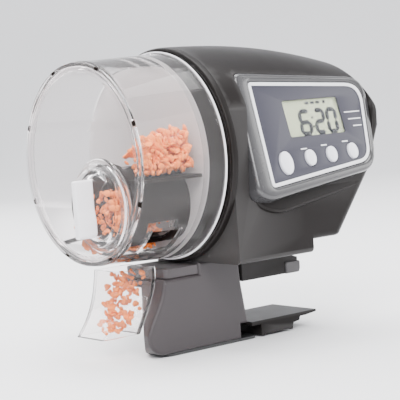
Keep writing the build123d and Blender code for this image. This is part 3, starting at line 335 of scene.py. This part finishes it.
def plane(origin, u, v):
    """The matrix of a plane with those directions, its normal towards the viewer of u and v."""
    u, v = Vector(u).normalized(), Vector(v).normalized()
    n = u.cross(v)
    return Matrix.Translation(origin) @ Matrix((u, v, n)).transposed().to_4x4()


CAP_PLANE = plane(at(0, 0, 0), (0, -1, 0), (0, 0, 1))  # its normal is -X, so u is -Y
PANEL_PLANE = plane(at(44.0, -35.6, 5.0), (1, 0, 0), (0, math.sin(LEAN), math.cos(LEAN)))


def slab(outlines, back, front, edge, place, steps=3):
    """A flat piece with rounded edges, from closed outlines in mm; inner ones are holes."""
    curve = bpy.data.curves.new("outline", "CURVE")
    curve.dimensions = "2D"
    curve.fill_mode = "BOTH"
    for loop in outlines:
        spline = curve.splines.new("POLY")
        spline.points.add(len(loop) - 1)
        for point, spot in zip(spline.points, loop):
            point.co = (spot[0] * MM, spot[1] * MM, 0, 1)
        spline.use_cyclic_u = True
    curve.extrude = ((front - back) / 2 - edge) * MM
    curve.bevel_depth = edge * MM
    curve.bevel_resolution = steps
    curve.offset = -edge * MM
    holder = bpy.data.objects.new("outline", curve)
    bpy.context.scene.collection.objects.link(holder)
    bpy.context.view_layer.update()
    mesh = bpy.data.meshes.new_from_object(holder)
    bpy.data.objects.remove(holder)
    bpy.data.curves.remove(curve)
    bm = bmesh.new()
    bm.from_mesh(mesh)
    bpy.data.meshes.remove(mesh)
    bmesh.ops.remove_doubles(bm, verts=bm.verts, dist=1e-6)
    bm.transform(place @ Matrix.Translation((0, 0, (front + back) / 2 * MM)))
    return bm


def carve(bm, cutters, operation="DIFFERENCE"):
    """The shape in bm with the cutters' shapes taken away or added."""
    body = bpy.data.meshes.new("carved")
    bmesh.ops.remove_doubles(bm, verts=bm.verts, dist=2e-7)
    bmesh.ops.recalc_face_normals(bm, faces=bm.faces)
    bm.to_mesh(body)
    bm.free()
    target = bpy.data.objects.new("carved", body)
    bpy.context.scene.collection.objects.link(target)
    tools = []
    for cutter in cutters:
        mesh = bpy.data.meshes.new("cutter")
        bmesh.ops.remove_doubles(cutter, verts=cutter.verts, dist=2e-7)
        bmesh.ops.recalc_face_normals(cutter, faces=cutter.faces)
        cutter.to_mesh(mesh)
        cutter.free()
        tool = bpy.data.objects.new("cutter", mesh)
        bpy.context.scene.collection.objects.link(tool)
        tools.append(tool)
        cut = target.modifiers.new("cut", "BOOLEAN")
        cut.operation = operation
        cut.solver = "EXACT"
        cut.object = tool
    depsgraph = bpy.context.evaluated_depsgraph_get()
    mesh = bpy.data.meshes.new_from_object(target.evaluated_get(depsgraph))
    for gone in (target, *tools):
        bpy.data.objects.remove(gone)
    return mesh


def box_at(centre, size, turn=0.0):
    """A block for cutting, in local mm, turned by turn degrees round the drum's axis."""
    bm = bmesh.new()
    bmesh.ops.create_cube(bm, size=1.0)
    bm.transform(Matrix.Diagonal((*(s * MM for s in size), 1)))
    bm.transform(Matrix.Translation(Vector(centre) * MM))
    bm.transform(Matrix.Rotation(math.radians(turn), 4, "X"))
    bm.transform(Matrix.Translation(ORIGIN))
    return bm


def dress(node, bevel=0.25, limit=40, dissolve=2.0):
    """Softens a carried-over CAD node's edges with modifiers and gives it its slot's material."""
    obj = frame["nodes"][node]
    row = next(r for r in frame["record"]["subparts"] if r["node"] == node)
    obj.data.materials.clear()
    obj.data.materials.append(SLOTS[row["material_slot"]])
    if not bevel:
        return obj
    weld = obj.modifiers.new("weld", "WELD")
    weld.merge_threshold = 2e-6
    flat = obj.modifiers.new("flat", "DECIMATE")
    flat.decimate_type = "DISSOLVE"
    flat.angle_limit = math.radians(dissolve)
    soft = obj.modifiers.new("soft", "BEVEL")
    soft.width = bevel * MM
    soft.segments = 2
    soft.limit_method = "ANGLE"
    soft.angle_limit = math.radians(limit)
    soft.miter_outer = "MITER_ARC"
    even = obj.modifiers.new("even", "WEIGHTED_NORMAL")
    even.weight = 60
    even.keep_sharp = True
    return obj


# ------------------------------------------------------------------ the clear food drum

DRUM_PROFILE = soften(
    [
        (-35.4, 35.0), (-35.4, 36.6), (-34.2, 36.85), (-34.0, 36.66), (-2.2, 37.95), (-2.0, 38.2),
        (-0.6, 38.2), (-0.6, 36.4), (-7.35, 36.1, 0.8), (-7.35, 9.2, 0.8), (-1.6, 9.0), (-1.6, 0.0, 0),
        (-9.0, 0.0, 0), (-9.0, 35.95, 0.8),
    ],
    0.35,
)
OUTLET_MID = -20.9
OUTLET_TURN = math.degrees(math.atan2(DIAL[1], DIAL[0]))
drum_hollow = lathe(DRUM_PROFILE, steps=192)
hexagon = [(6.5 * math.cos(math.radians(60 * i)), 6.5 * math.sin(math.radians(60 * i))) for i in range(6)]
socket = slab([hexagon], -7.35, 3.0, 0.02, plane(at(0, 0, 0), (0, 1, 0), (0, 0, 1)))
outlet = box_at((OUTLET_MID, 37.3, 0), (13.0, 9.0, 13.0), OUTLET_TURN)
drum = piece(
    "drum_clear_wall", carve(drum_hollow, [socket, outlet]), "drum", "clear_plastic",
    material=(SLOTS["clear_plastic"], BACK_WALL_PAINTED_REFLECTION), replaces=("drum_shell",), crease=30,
)
for face in drum.data.polygons:
    # the back wall gets a grey, half-clear material: a painted reflection of the lamps on the clear wall
    off_axis = face.center - ORIGIN
    if off_axis.x > -9.2 * MM and math.hypot(off_axis.y, off_axis.z) < 36.0 * MM:
        face.material_index = 1


def notched_rim(radius, count, wide, deep, steps=12):
    """A circle with square notches cut into it."""
    points = []
    half = math.asin(wide / 2 / radius)
    for i in range(count):
        middle = 2 * math.pi * (i + 0.5) / count
        start, end = middle - math.pi / count, middle + math.pi / count
        for k in range(steps):
            t = start + (middle - half - start) * k / (steps - 1)
            points.append((radius * math.cos(t), radius * math.sin(t)))
        for t in (middle - half, middle + half):
            points.append(((radius - deep) * math.cos(t), (radius - deep) * math.sin(t)))
        for k in range(steps):
            t = middle + half + (end - middle - half) * k / steps
            points.append((radius * math.cos(t), radius * math.sin(t)))
    return points


CAP_HOLE = oval((-DIAL[0], DIAL[1]), 26.8, 26.8, 96)
NOTCHES = 8
cap_disc = slab([notched_rim(36.55, NOTCHES, 2.4, 1.3), CAP_HOLE], 35.45, 36.55, 0.3, CAP_PLANE)
rim_ring = [(-36.5, 32.9), (-36.95, 33.1), (-36.95, 34.9), (-36.5, 35.1)]
lathe(soften(rim_ring, 0.2), into=cap_disc)
collar_ring = [(-36.5, 15.9), (-37.25, 16.0), (-37.55, 16.3), (-37.55, 16.8), (-37.25, 17.1), (-36.5, 17.3)]
lathe(soften(collar_ring, 0.15), centre=DIAL, into=cap_disc, steps=96)
plug_ring = [(-35.5, 34.9), (-35.5, 33.7), (-33.9, 33.8), (-33.9, 34.75)]
lathe(soften(plug_ring, 0.2), into=cap_disc)
cap = piece("drum_cap_clear", cap_disc, "cap", "clear_plastic", replaces=("drum_end_cap",), crease=30)

# a thin white ring on the clear flange's rim: a painted highlight where its edge catches the light
FLANGE_HIGHLIGHT_RING = soften(
    [(-1.3, 38.22), (-1.3, 38.6), (-1.2, 38.76), (-0.75, 38.76), (-0.65, 38.6), (-0.65, 38.22)], 0.1
)
piece("drum_flange_painted_highlight", lathe(FLANGE_HIGHLIGHT_RING, steps=192), "drum", "frosted_white", crease=35)

NOTCH_TURN = 360 / NOTCHES
# dark blocks sit in the cap's rim notches: painted shade in the notches
notch_shade_blocks = gather([box_at((-36.0, 35.95, 0), (0.9, 0.9, 1.7), NOTCH_TURN * (i + 0.5)) for i in range(NOTCHES)])
piece("cap_notch_painted_shade", notch_shade_blocks, "cap", "smoke_plastic", crease=30)

DIAL_PROFILE = soften(
    [
        (-37.3, 15.6, 0.15), (-38.45, 15.6), (-38.7, 14.6), (-39.0, 14.0), (-40.6, 13.75), (-41.0, 13.1),
        (-41.0, 10.2, 0.1), (-40.75, 10.0, 0.1), (-40.75, 0.0, 0), (-39.6, 0.0, 0), (-39.6, 11.7),
        (-37.3, 11.8, 0.15),
    ],
    0.3,
)
dial = piece(
    "portion_dial_clear", lathe(DIAL_PROFILE, centre=DIAL, steps=96), "dial", "clear_plastic",
    replaces=("portion_dial",), crease=30,
)

SLEEVE_PROFILE = soften(
    [(-37.28, 11.85), (-37.28, 13.35), (-35.4, 13.35), (-35.2, 13.0), (-9.4, 13.0), (-9.4, 11.85)], 0.2
)
sleeve_inlet = box_at((OUTLET_MID, DIAL[0], DIAL[1] + 13), (13, 28, 18))
sleeve_outlet = box_at((OUTLET_MID, math.hypot(*DIAL) + 13, 0), (13, 8, 13), OUTLET_TURN)
sleeve = piece(
    "metering_sleeve_clear",
    carve(lathe(SLEEVE_PROFILE, centre=DIAL, steps=96), [sleeve_inlet, sleeve_outlet]),
    "dial", "clear_plastic", replaces=("metering_sleeve",), crease=30,
)

GRIP = [
    (-1.5, 10.2, 1.0), (-1.5, -10.2, 1.0), (1.0, -10.2, 1.4), (2.2, -9.2, 1.6),
    (2.35, -5.0, 1.8), (1.9, -1.8, 2.0), (1.5, -0.3, 1.6), (1.5, 10.2, 1.0),
]
grip_outline = [(-DIAL[0] + u, DIAL[1] + v) for u, v in soften(GRIP, 1.2, steps=6)]
grip_mesh = slab([grip_outline], 41.0 - 0.2, 48.55, 0.95, CAP_PLANE, steps=5)
for vert in grip_mesh.verts:
    # the tab narrows a little towards its tip
    out = (ORIGIN.x - vert.co.x) / MM - 41.0
    middle = ORIGIN.y + (DIAL[0] - 0.2) * MM
    vert.co.y = middle + (vert.co.y - middle) * (1.03 - 0.02 * max(0, out))
piece("dial_grip_frosted", grip_mesh, "dial", "frosted_white", replaces=("dial_grip",), crease=50)

# ------------------------------------------------------------------ collar behind the drum

COLLAR_PROFILE = soften(
    [(0.8, 40.0), (3.2, 40.15, 0.1), (3.2, 5.0, 0.05), (1.9, 5.0, 0.1), (1.9, 37.6), (1.1, 38.1), (0.8, 38.6)],
    0.45,
)
piece(
    "housing_collar", lathe(COLLAR_PROFILE, steps=192), "root", "housing_plastic",
    replaces=("end_plate",), crease=35,
)

# ------------------------------------------------------------------ control panel

BEZEL = [(-31.6, 24.6, 3.4), (33.4, 19.8, 9.6), (27.0, -16.6, 7.0), (-28.6, -23.8, 4.4), (-34.4, -21.0, 3.6)]
PANEL = [(-25.6, 20.8, 1.8), (31.2, 17.4, 8.6), (25.4, -13.4, 6.0), (-27.0, -19.5, 2.0)]
LCD_AT = (2.6, 5.7)
LCD = (28.0, 14.2)
BUTTONS = (
    ("feed_button", (-17.3, -10.8), 6.0, 8.8),
    ("hour_button", (-4.9, -9.8), 4.9, 6.2),
    ("minute_button", (6.1, -9.4), 4.9, 6.2),
    ("cycle_button", (17.2, -9.0), 4.9, 6.2),
)


def inset(outline, amount):
    """A straight-sided convex outline with every side moved inwards by amount."""
    count = len(outline)
    corners = [Vector(p[:2]) for p in outline]
    middle = sum(corners, Vector((0, 0))) / count
    sides = []
    for i in range(count):
        a, b = corners[i], corners[(i + 1) % count]
        normal = Vector((-(b - a).y, (b - a).x)).normalized()
        if normal.dot(middle - a) < 0:
            normal = -normal
        sides.append((a + normal * amount, (b - a).normalized()))
    result = []
    for i in range(count):
        (p, d), (q, e) = sides[i - 1], sides[i]
        cross = d.x * e.y - d.y * e.x
        t = ((q - p).x * e.y - (q - p).y * e.x) / cross
        spot = p + d * t
        result.append((spot.x, spot.y, max(0.2, outline[i][2] - amount)))
    return result


bezel_outer = soften(BEZEL, 3, steps=8)
panel_outer = soften(PANEL, 3, steps=8)
bezel_inner = soften(inset(PANEL, -0.1), 3, steps=8)
# the bezel wears the lighter copy of the housing plastic, a painted highlight
piece(
    "bezel_ring", slab([bezel_outer, bezel_inner], -8.9, 1.25, 1.5, PANEL_PLANE, steps=5),
    "root", "housing_plastic", material=SLOTS["bezel_painted_highlight_plastic"], replaces=("bezel_frame",), crease=45,
)

SKIRT = [(-33.2, 20.0, 3.0), (31.0, 15.0, 6.0), (25.6, -20.4, 6.0), (-22.0, -28.0, 5.0), (-32.2, -24.0, 5.0)]
skirt = slab([soften(SKIRT, 3, steps=8)], -8.8, -4.6, 1.3, PANEL_PLANE, steps=4)
piece("panel_skirt", skirt, "root", "housing_plastic", crease=45)

QUADRANTS = ((-1, -1), (1, -1), (1, 1), (-1, 1))
lcd_hole = soften([(LCD_AT[0] + s * LCD[0] / 2, LCD_AT[1] + t * LCD[1] / 2) for s, t in QUADRANTS], 0.9)
button_holes = [oval(spot, wide + 0.5, high + 0.5) for name, spot, wide, high in BUTTONS]
piece(
    "panel_film_plate", slab([panel_outer, lcd_hole] + button_holes, -1.0, 0.2, 0.14, PANEL_PLANE),
    "root", "panel_film", replaces=("panel_plate",), crease=40,
)
outline_inner = soften(inset(PANEL, 1.35), 3, steps=8)
piece(
    "panel_white_outline", slab([panel_outer, outline_inner], 0.2, 0.6, 0.14, PANEL_PLANE),
    "root", "white_print", replaces=("panel_border",), crease=40,
)


def lcd_scaled(size):
    """The display's opening, made larger or smaller round its middle."""
    return [(LCD_AT[0] + (u - LCD_AT[0]) * size, LCD_AT[1] + (v - LCD_AT[1]) * size) for u, v in lcd_hole]


lcd_window = slab([lcd_scaled(0.985)], -0.75, 0.1, 0.1, PANEL_PLANE)
piece("display_window", lcd_window, "root", "lens", replaces=("lcd_window",))
lcd_module = slab([lcd_scaled(1.06)], -6.9, -1.02, 0.15, PANEL_PLANE)
piece("display_module", lcd_module, "root", "lcd_glass", replaces=("lcd_module",))


def bar(start, end, thick):
    """A stroke with pointed ends, for a segment of a display digit."""
    a, b = Vector(start), Vector(end)
    along = (b - a).normalized() * thick / 2
    side = Vector((-along.y, along.x))
    return [tuple(p) for p in (a, a + along + side, b - along + side, b, b - along - side, a + along - side)]


SEGMENTS = {
    "a": ((0, 2), (1, 2)), "b": ((1, 2), (1, 1)), "c": ((1, 1), (1, 0)), "d": ((0, 0), (1, 0)),
    "e": ((0, 0), (0, 1)), "f": ((0, 1), (0, 2)), "g": ((0, 1), (1, 1)),
}
LIT = {"6": "acdefg", "2": "abdeg", "0": "abcdef"}


def digit_strokes(digit, corner, wide, high, thick, slope=0.10):
    """The lit segments of one display digit, leaning a little to the right."""
    strokes = []
    for name in LIT[digit]:
        ends = []
        for u, v in SEGMENTS[name]:
            y = v * high / 2
            ends.append((corner[0] + u * wide + slope * y, corner[1] + y))
        strokes.append(bar(*ends, thick))
    return strokes


DIGIT_FOOT = -0.3
strokes = digit_strokes("6", (-4.2, DIGIT_FOOT), 4.6, 8.6, 1.75)
strokes += digit_strokes("2", (3.5, DIGIT_FOOT), 4.1, 8.6, 1.75)
strokes += digit_strokes("0", (9.7, DIGIT_FOOT), 4.1, 8.6, 1.75)
for v in (2.4, 6.0):
    strokes.append(oval((1.9 + 0.1 * v, DIGIT_FOOT + v), 1.0, 1.1, 14))
for u in (1.6, 4.4, 7.2):
    strokes.append(soften([(u + s, 11.4 + t) for s, t in ((-1, -0.5), (1, -0.5), (1, 0.5), (-1, 0.5))], 0.3))
strokes.append(oval((10.4, 11.4), 1.6, 1.3, 14))
ink = gather([slab([stroke], -1.0, -0.92, 0.02, PANEL_PLANE, steps=1) for stroke in strokes])
piece("display_digits", ink, "root", "lcd_glass", material=INK, crease=30)


def block(u0, u1, v0, v1):
    """A printed dash with slightly rounded corners."""
    return soften([(u0, v0), (u1, v0), (u1, v1), (u0, v1)], 0.18)


LINES = ((18.4, 26.6, 6.3), (19.6, 26.2, 3.5), (21.2, 25.8, 0.7))
DASHES = ((-7.0, -6.2), (3.4, -5.6), (14.6, -5.0))
marks = [block(left, right, v - 0.22, v + 0.22) for left, right, v in LINES]
marks += [block(u - 1.5, u + 1.5, v - 0.25, v + 0.25) for u, v in DASHES]
print_layer = gather([slab([mark], 0.19, 0.26, 0.015, PANEL_PLANE, steps=1) for mark in marks])
piece("panel_print_marks", print_layer, "root", "white_print", crease=30)


BUTTON_SIDES = 56


def button(spot, wide, high):
    """An oval push button: a collar behind the panel, a straight side, and a crowned top."""
    bm = bmesh.new()
    levels = [(-3.4, 0.5), (-2.4, 0.5), (-2.4, 0.02), (0.55, 0.0)]
    levels += [(0.55 + 0.55 * math.sin(t), -0.55 * (1 - math.cos(t))) for t in (0.4, 0.8, 1.2, 1.5)]
    rings = []
    for depth, grow in levels:
        loop = oval(spot, wide + 2 * grow, high + 2 * grow, BUTTON_SIDES)
        rings.append([bm.verts.new(PANEL_PLANE @ Vector((u * MM, v * MM, depth * MM))) for u, v in loop])
    for share in (0.72, 0.45, 0.2):
        loop = oval(spot, (wide - 1.1) * share, (high - 1.1) * share, BUTTON_SIDES)
        crown = 1.1 + 0.25 * (1 - share * share)
        rings.append([bm.verts.new(PANEL_PLANE @ Vector((u * MM, v * MM, crown * MM))) for u, v in loop])
    for one, two in zip(rings, rings[1:]):
        bridge(bm, one, two)
    bm.faces.new(rings[0][::-1])
    bm.faces.new(rings[-1])
    return bm


for name, spot, wide, high in BUTTONS:
    body = name.replace("_button", "_key")
    piece(name + "_cap", button(spot, wide, high), body, "button_plastic", replaces=(name,), crease=50)

# ------------------------------------------------------------------ chute

CHUTE_TOP, CHUTE_FOOT, CHUTE_DEEP = -39.4, -62.6, 9.0


def through(points, z):
    """The place on a smooth curve through (x, z) points, at height z."""
    total = 0.0
    for x, height in points:
        weight = 1.0
        for other in (row[1] for row in points if row[1] != height):
            weight *= (z - other) / (height - other)
        total += x * weight
    return total


CHUTE_LEFT = ((-29.2, CHUTE_TOP), (-31.0, -48.5), (-33.8, -55.5), (-38.8, CHUTE_FOOT))
CHUTE_RIGHT = ((-12.9, CHUTE_TOP), (-14.8, -49.5), (-18.0, -56.0), (-21.7, CHUTE_FOOT))


def chute_ring(bm, z, wall, round_by):
    """One level of the chute: a rectangle with rounded corners."""
    left = through(CHUTE_LEFT, z) + wall
    right = through(CHUTE_RIGHT, z) - wall
    deep = CHUTE_DEEP - wall
    corners = [(left, -deep), (right, -deep), (right, deep), (left, deep)]
    return [bm.verts.new(at(x, y, z)) for x, y in soften(corners, round_by, steps=6)]


chute_mesh = bmesh.new()
CHUTE_LEVELS = 22
heights = [CHUTE_TOP + (CHUTE_FOOT - CHUTE_TOP) * i / CHUTE_LEVELS for i in range(CHUTE_LEVELS + 1)]
outer = [chute_ring(chute_mesh, z, 0.0, 2.2) for z in heights]
inner = [chute_ring(chute_mesh, z, 1.2, 1.4) for z in heights]
for walls in (outer, inner):
    for one, two in zip(walls, walls[1:]):
        bridge(chute_mesh, one, two)
for end in (0, -1):
    bridge(chute_mesh, outer[end], inner[end])
tongue = box_at((-8.5, 0, -44.65), (10.4, 11.6, 1.0))
chute = piece(
    "chute_clear", carve(chute_mesh, [tongue], "UNION"), "root", "clear_plastic",
    replaces=("food_chute",), crease=35,
)

# ------------------------------------------------------------------ contact springs, as real coils

TRAY_LOW, TRAY_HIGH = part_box("battery_springs")
coils = bmesh.new()


def coil(x0, x1, y, z, radius=3.4, wire=0.4, turns=4, round_steps=10):
    """A closed-end coil spring along X from x0 to x1, those and y and z in metres, the rest in mm."""
    count = turns * 28
    rings = []
    for i in range(count + 1):
        t = i / count
        ease = t - math.sin(2 * math.pi * t) / (2 * math.pi) * 0.6
        turn = 2 * math.pi * turns * t
        reach_now = radius * (0.86 + 0.14 * math.sin(math.pi * t))
        centre = Vector((x0 + wire * MM + (x1 - x0 - 2 * wire * MM) * ease, 0, 0))
        centre += Vector((0, math.cos(turn), math.sin(turn))) * reach_now * MM + Vector((0, y, z))
        outwards = Vector((0, math.cos(turn), math.sin(turn)))
        along = Vector((1, 0, 0))
        ring = []
        for k in range(round_steps):
            a = 2 * math.pi * k / round_steps
            ring.append(coils.verts.new(centre + (outwards * math.cos(a) + along * math.sin(a)) * wire * MM))
        rings.append(ring)
    for one, two in zip(rings, rings[1:]):
        bridge(coils, one, two)
    coils.faces.new(rings[0][::-1])
    coils.faces.new(rings[-1])


for cell, tray_side in (("battery_1", "low"), ("battery_2", "high")):
    cell_low, cell_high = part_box(cell)
    middle_y, middle_z = (cell_low.y + cell_high.y) / 2, (cell_low.z + cell_high.z) / 2
    if tray_side == "low":
        coil(TRAY_LOW.x, cell_low.x, middle_y, middle_z)
    else:
        coil(cell_high.x, TRAY_HIGH.x, middle_y, middle_z)
piece("contact_coils", coils, "root", "nickel", replaces=("battery_springs",), crease=60)

# ------------------------------------------------------------------ carried-over CAD nodes

# each node's edge softening in mm
KEPT = {
    "front_shell": 0, "rear_shell": 0, "base_block": 0, "base_neck": 0.3, "base_plate": 0.25,
    "base_screws": 0.15, "upper_jaw": 0.25, "upper_jaw_pad": 0.5, "lower_jaw": 0.25, "clamp_screw": 0.2,
    "clamp_thumbwheel": 0.15, "drum_partition": 0.2, "battery_cover": 0.25, "battery_tray": 0.3,
    "case_screws": 0.15, "gear_plate": 0.2, "battery_1": 0.2, "battery_2": 0.2, "battery_contacts": 0,
    "circuit_board": 0.1, "tact_switches": 0.1, "drive_hub": 0.2, "drum_gear": 0.08, "idler_gear": 0.08,
    "motor_pinion": 0, "home_cam": 0.2, "home_switch": 0.2, "idler_pin": 0.15, "shaft_bushes": 0.15,
    "gear_posts": 0.1, "plate_screws": 0.1, "drive_motor": 0.4,
}
for node, bevel in KEPT.items():
    dress(node, bevel)

# ------------------------------------------------------------------ food flakes

FLAKE_COLOURS = (
    ("flake_orange", (0.86, 0.20, 0.025), 0.42),
    ("flake_salmon", (0.92, 0.36, 0.12), 0.30),
    ("flake_red", (0.50, 0.050, 0.025), 0.12),
    ("flake_green", (0.16, 0.18, 0.05), 0.07),
    ("flake_tan", (0.80, 0.46, 0.16), 0.09),
)
FLAKE_SIDES = 9
TRIES_PER_FLAKE = 60
FLAKES = [
    surface(name, colour, 0.66, shade=0.3, patch=700, grain=2400, bump=0.7, depth=0.0002, rough_spread=0.12)
    for name, colour, share in FLAKE_COLOURS
]


def scatter(name, count, spot, keep, body, seed, size=(2.0, 4.2)):
    """Irregular curled food flakes at the places that spot gives and keep allows."""
    chance = random.Random(seed)
    bm = bmesh.new()
    made = 0
    for _ in range(count * TRIES_PER_FLAKE):
        if made == count:
            break
        place = Vector(spot(chance))
        across_mm = chance.uniform(*size)
        if not keep(*place, across_mm / 2):
            continue
        made += 1
        pick, colour = chance.random(), 0
        for index, row in enumerate(FLAKE_COLOURS):
            pick -= row[2]
            if pick < 0:
                colour = index
                break
        turn = Matrix.Rotation(chance.uniform(0, math.tau), 3, "X")
        turn = turn @ Matrix.Rotation(chance.uniform(0, math.tau), 3, "Y")
        curl = chance.uniform(-0.16, 0.16)
        thick = chance.uniform(0.45, 1.0)
        outline = []
        for k in range(FLAKE_SIDES):
            a = math.tau * k / FLAKE_SIDES
            r = across_mm / 2 * chance.uniform(0.68, 1.0)
            outline.append((r * math.cos(a), r * 0.82 * math.sin(a)))
        layers = []
        for level, share in ((-0.5, 0.82), (0.0, 1.0), (0.5, 0.82)):
            ring = []
            for u, v in outline:
                u, v = u * share, v * share
                w = level * thick + curl * u * u / max(0.6, across_mm / 4) * 0.8
                ring.append(bm.verts.new(at(*(place + turn @ Vector((u, v, w))))))
            layers.append(ring)
        caps = []
        for level in (-0.62, 0.62):
            caps.append(bm.verts.new(at(*(place + turn @ Vector((0, 0, level * thick))))))
        faces = []
        for one, two in zip(layers, layers[1:]):
            faces += bridge(bm, one, two)
        for k in range(FLAKE_SIDES):
            m = (k + 1) % FLAKE_SIDES
            faces.append(bm.faces.new((layers[0][m], layers[0][k], caps[0])))
            faces.append(bm.faces.new((layers[-1][k], layers[-1][m], caps[1])))
        for face in faces:
            face.material_index = colour
    mesh = bpy.data.meshes.new(name)
    bmesh.ops.recalc_face_normals(bm, faces=bm.faces)
    bm.to_mesh(mesh)
    bm.free()
    return piece(name, mesh, body, "frosted_white", material=FLAKES, crease=60)


def drum_spot(chance):
    """A chance place in the drum."""
    return chance.uniform(-32.5, -10.2), chance.uniform(-34, 26), chance.uniform(-34, 18)


def in_heap(x, y, z, half):
    """Whether a flake lies in the heap over the shelf or in the well, clear of the walls."""
    if math.hypot(y, z) > 34.1 - half or not -32.4 + half < x < -9.6 - half * 0.5:
        return False
    if math.hypot(y - DIAL[0], z - DIAL[1]) < 15.2 + half:
        return False
    if z > -5.4 + half * 0.9:
        surface_z = 13.5 - 0.5 * (y + 33) - 0.25 * max(0, -22 - x)
        return y < 8 and z < surface_z - half * 0.4
    if -8.4 - half < z:
        return y > DIAL[0] + 2 + half and z < -4 - 0.4 * (y + 6)
    if z < -21.5 - half:
        return y < 19 - half and z < -22.0 - 0.05 * y
    return False


scatter("food_in_drum", 1000, drum_spot, in_heap, "drum", 11, size=(2.2, 4.8))


def pocket_spot(chance):
    """A chance place in the metering pocket."""
    return chance.uniform(-36, -12), DIAL[0] + chance.uniform(-11, 11), DIAL[1] + chance.uniform(-11, 11)


def in_pocket(x, y, z, half):
    """Whether a flake lies in the metering pocket, in its lower half or banked at one side."""
    u, v = y - DIAL[0], z - DIAL[1]
    return math.hypot(u, v) < 11.5 - half and v < 6.5 - 0.35 * u and -38.6 + half < x < -10 - half


scatter("food_in_pocket", 300, pocket_spot, in_pocket, "dial", 23, size=(2.0, 4.0))


def chute_spot(chance):
    """A chance place in the chute."""
    return chance.uniform(-38, -13), chance.uniform(-8, 8), chance.uniform(-61.5, -41)


def in_chute(x, y, z, half):
    """Whether a flake is in the chute, clear of its walls."""
    left, right = through(CHUTE_LEFT, z) + 1.4 + half, through(CHUTE_RIGHT, z) - 1.4 - half
    return left < x < right and abs(y) < CHUTE_DEEP - 1.6 - half


scatter("food_in_chute", 130, chute_spot, in_chute, "root", 37, size=(1.8, 3.8))

# the clear pieces let the lamps light the food inside
for see_through in (drum, cap, dial, sleeve, chute):
    see_through.visible_shadow = False

# ------------------------------------------------------------------ floor, light and camera

FLOOR_HALF = 2.4
floor_mesh = bmesh.new()
profile = [(-1.6, 0.0), (0.9, 0.0)]
profile += [(0.9 + 0.45 * math.sin(t), 0.45 * (1 - math.cos(t))) for t in (0.3, 0.6, 0.9, 1.2, 1.57)]
profile += [(1.35, 2.2)]
rows = []
FLOOR_TURN = math.radians(37)
facing_away = Vector((math.sin(FLOOR_TURN), math.cos(FLOOR_TURN), 0))
sideways = Vector((facing_away.y, -facing_away.x, 0))
for reach_out, height in profile:
    along = facing_away * reach_out + Vector((0, 0, height))
    rows.append([floor_mesh.verts.new(along + sideways * s) for s in (-FLOOR_HALF, FLOOR_HALF)])
for one, two in zip(rows, rows[1:]):
    floor_mesh.faces.new((one[0], one[1], two[1], two[0]))
floor_data = bpy.data.meshes.new("studio_floor")
bmesh.ops.recalc_face_normals(floor_mesh, faces=floor_mesh.faces)
floor_mesh.to_mesh(floor_data)
floor_mesh.free()
floor_data.polygons.foreach_set("use_smooth", [True] * len(floor_data.polygons))
floor = bpy.data.objects.new("studio_floor", floor_data)
bpy.context.scene.collection.objects.link(floor)
paper = surface("studio_paper", (0.92, 0.92, 0.93), 0.9, shade=0.01, patch=4, grain=900, bump=0.02)
floor_data.materials.append(paper)


def area(name, place, aim, size, power):
    """A rectangular studio lamp at a place, turned to the aim."""
    light = bpy.data.lights.new(name, "AREA")
    light.shape = "RECTANGLE"
    light.size, light.size_y = size
    light.energy = power
    obj = bpy.data.objects.new(name, light)
    bpy.context.scene.collection.objects.link(obj)
    obj.location = place
    obj.rotation_euler = (Vector(aim) - Vector(place)).to_track_quat("-Z", "Y").to_euler()


AIM = (0, 0, 0.058)
area("key_light", (-0.42, -0.55, 0.62), AIM, (0.5, 0.5), 11.0)
area("top_light", (0.10, 0.05, 0.75), AIM, (0.7, 0.5), 10.0)
area("side_light", (0.65, -0.42, 0.30), AIM, (0.3, 0.5), 3.2)
area("back_light", (-0.10, 0.70, 0.45), AIM, (0.7, 0.4), 8.0)

world = bpy.data.worlds.new("studio")
bpy.context.scene.world = world
world.use_nodes = True
world.node_tree.nodes["Background"].inputs["Color"].default_value = (0.95, 0.96, 1.0, 1)
world.node_tree.nodes["Background"].inputs["Strength"].default_value = 1.05

CAMERA_TURN = math.radians(-38.4)
CAMERA_RISE = math.radians(4.4)
CAMERA_ROLL = math.radians(-4.2)
CAMERA_REACH = 0.52
camera_data = bpy.data.cameras.new("camera")
camera_data.lens = 124
camera_data.sensor_width = 36
camera_data.clip_start = 0.01
camera = bpy.data.objects.new("camera", camera_data)
bpy.context.scene.collection.objects.link(camera)
back = Vector(
    (
        math.sin(CAMERA_TURN) * math.cos(CAMERA_RISE),
        -math.cos(CAMERA_TURN) * math.cos(CAMERA_RISE),
        math.sin(CAMERA_RISE),
    )
)
sideways_view = Vector((math.cos(CAMERA_TURN), math.sin(CAMERA_TURN), 0))
target = at(8, 0, -15) + sideways_view * 6.6 * MM - Vector((0, 0, 2.8 * MM))
camera.location = target + back * CAMERA_REACH
aim = (-back).to_track_quat("-Z", "Y") @ Quaternion((0, 0, 1), CAMERA_ROLL)
camera.rotation_euler = aim.to_euler()
bpy.context.scene.camera = camera
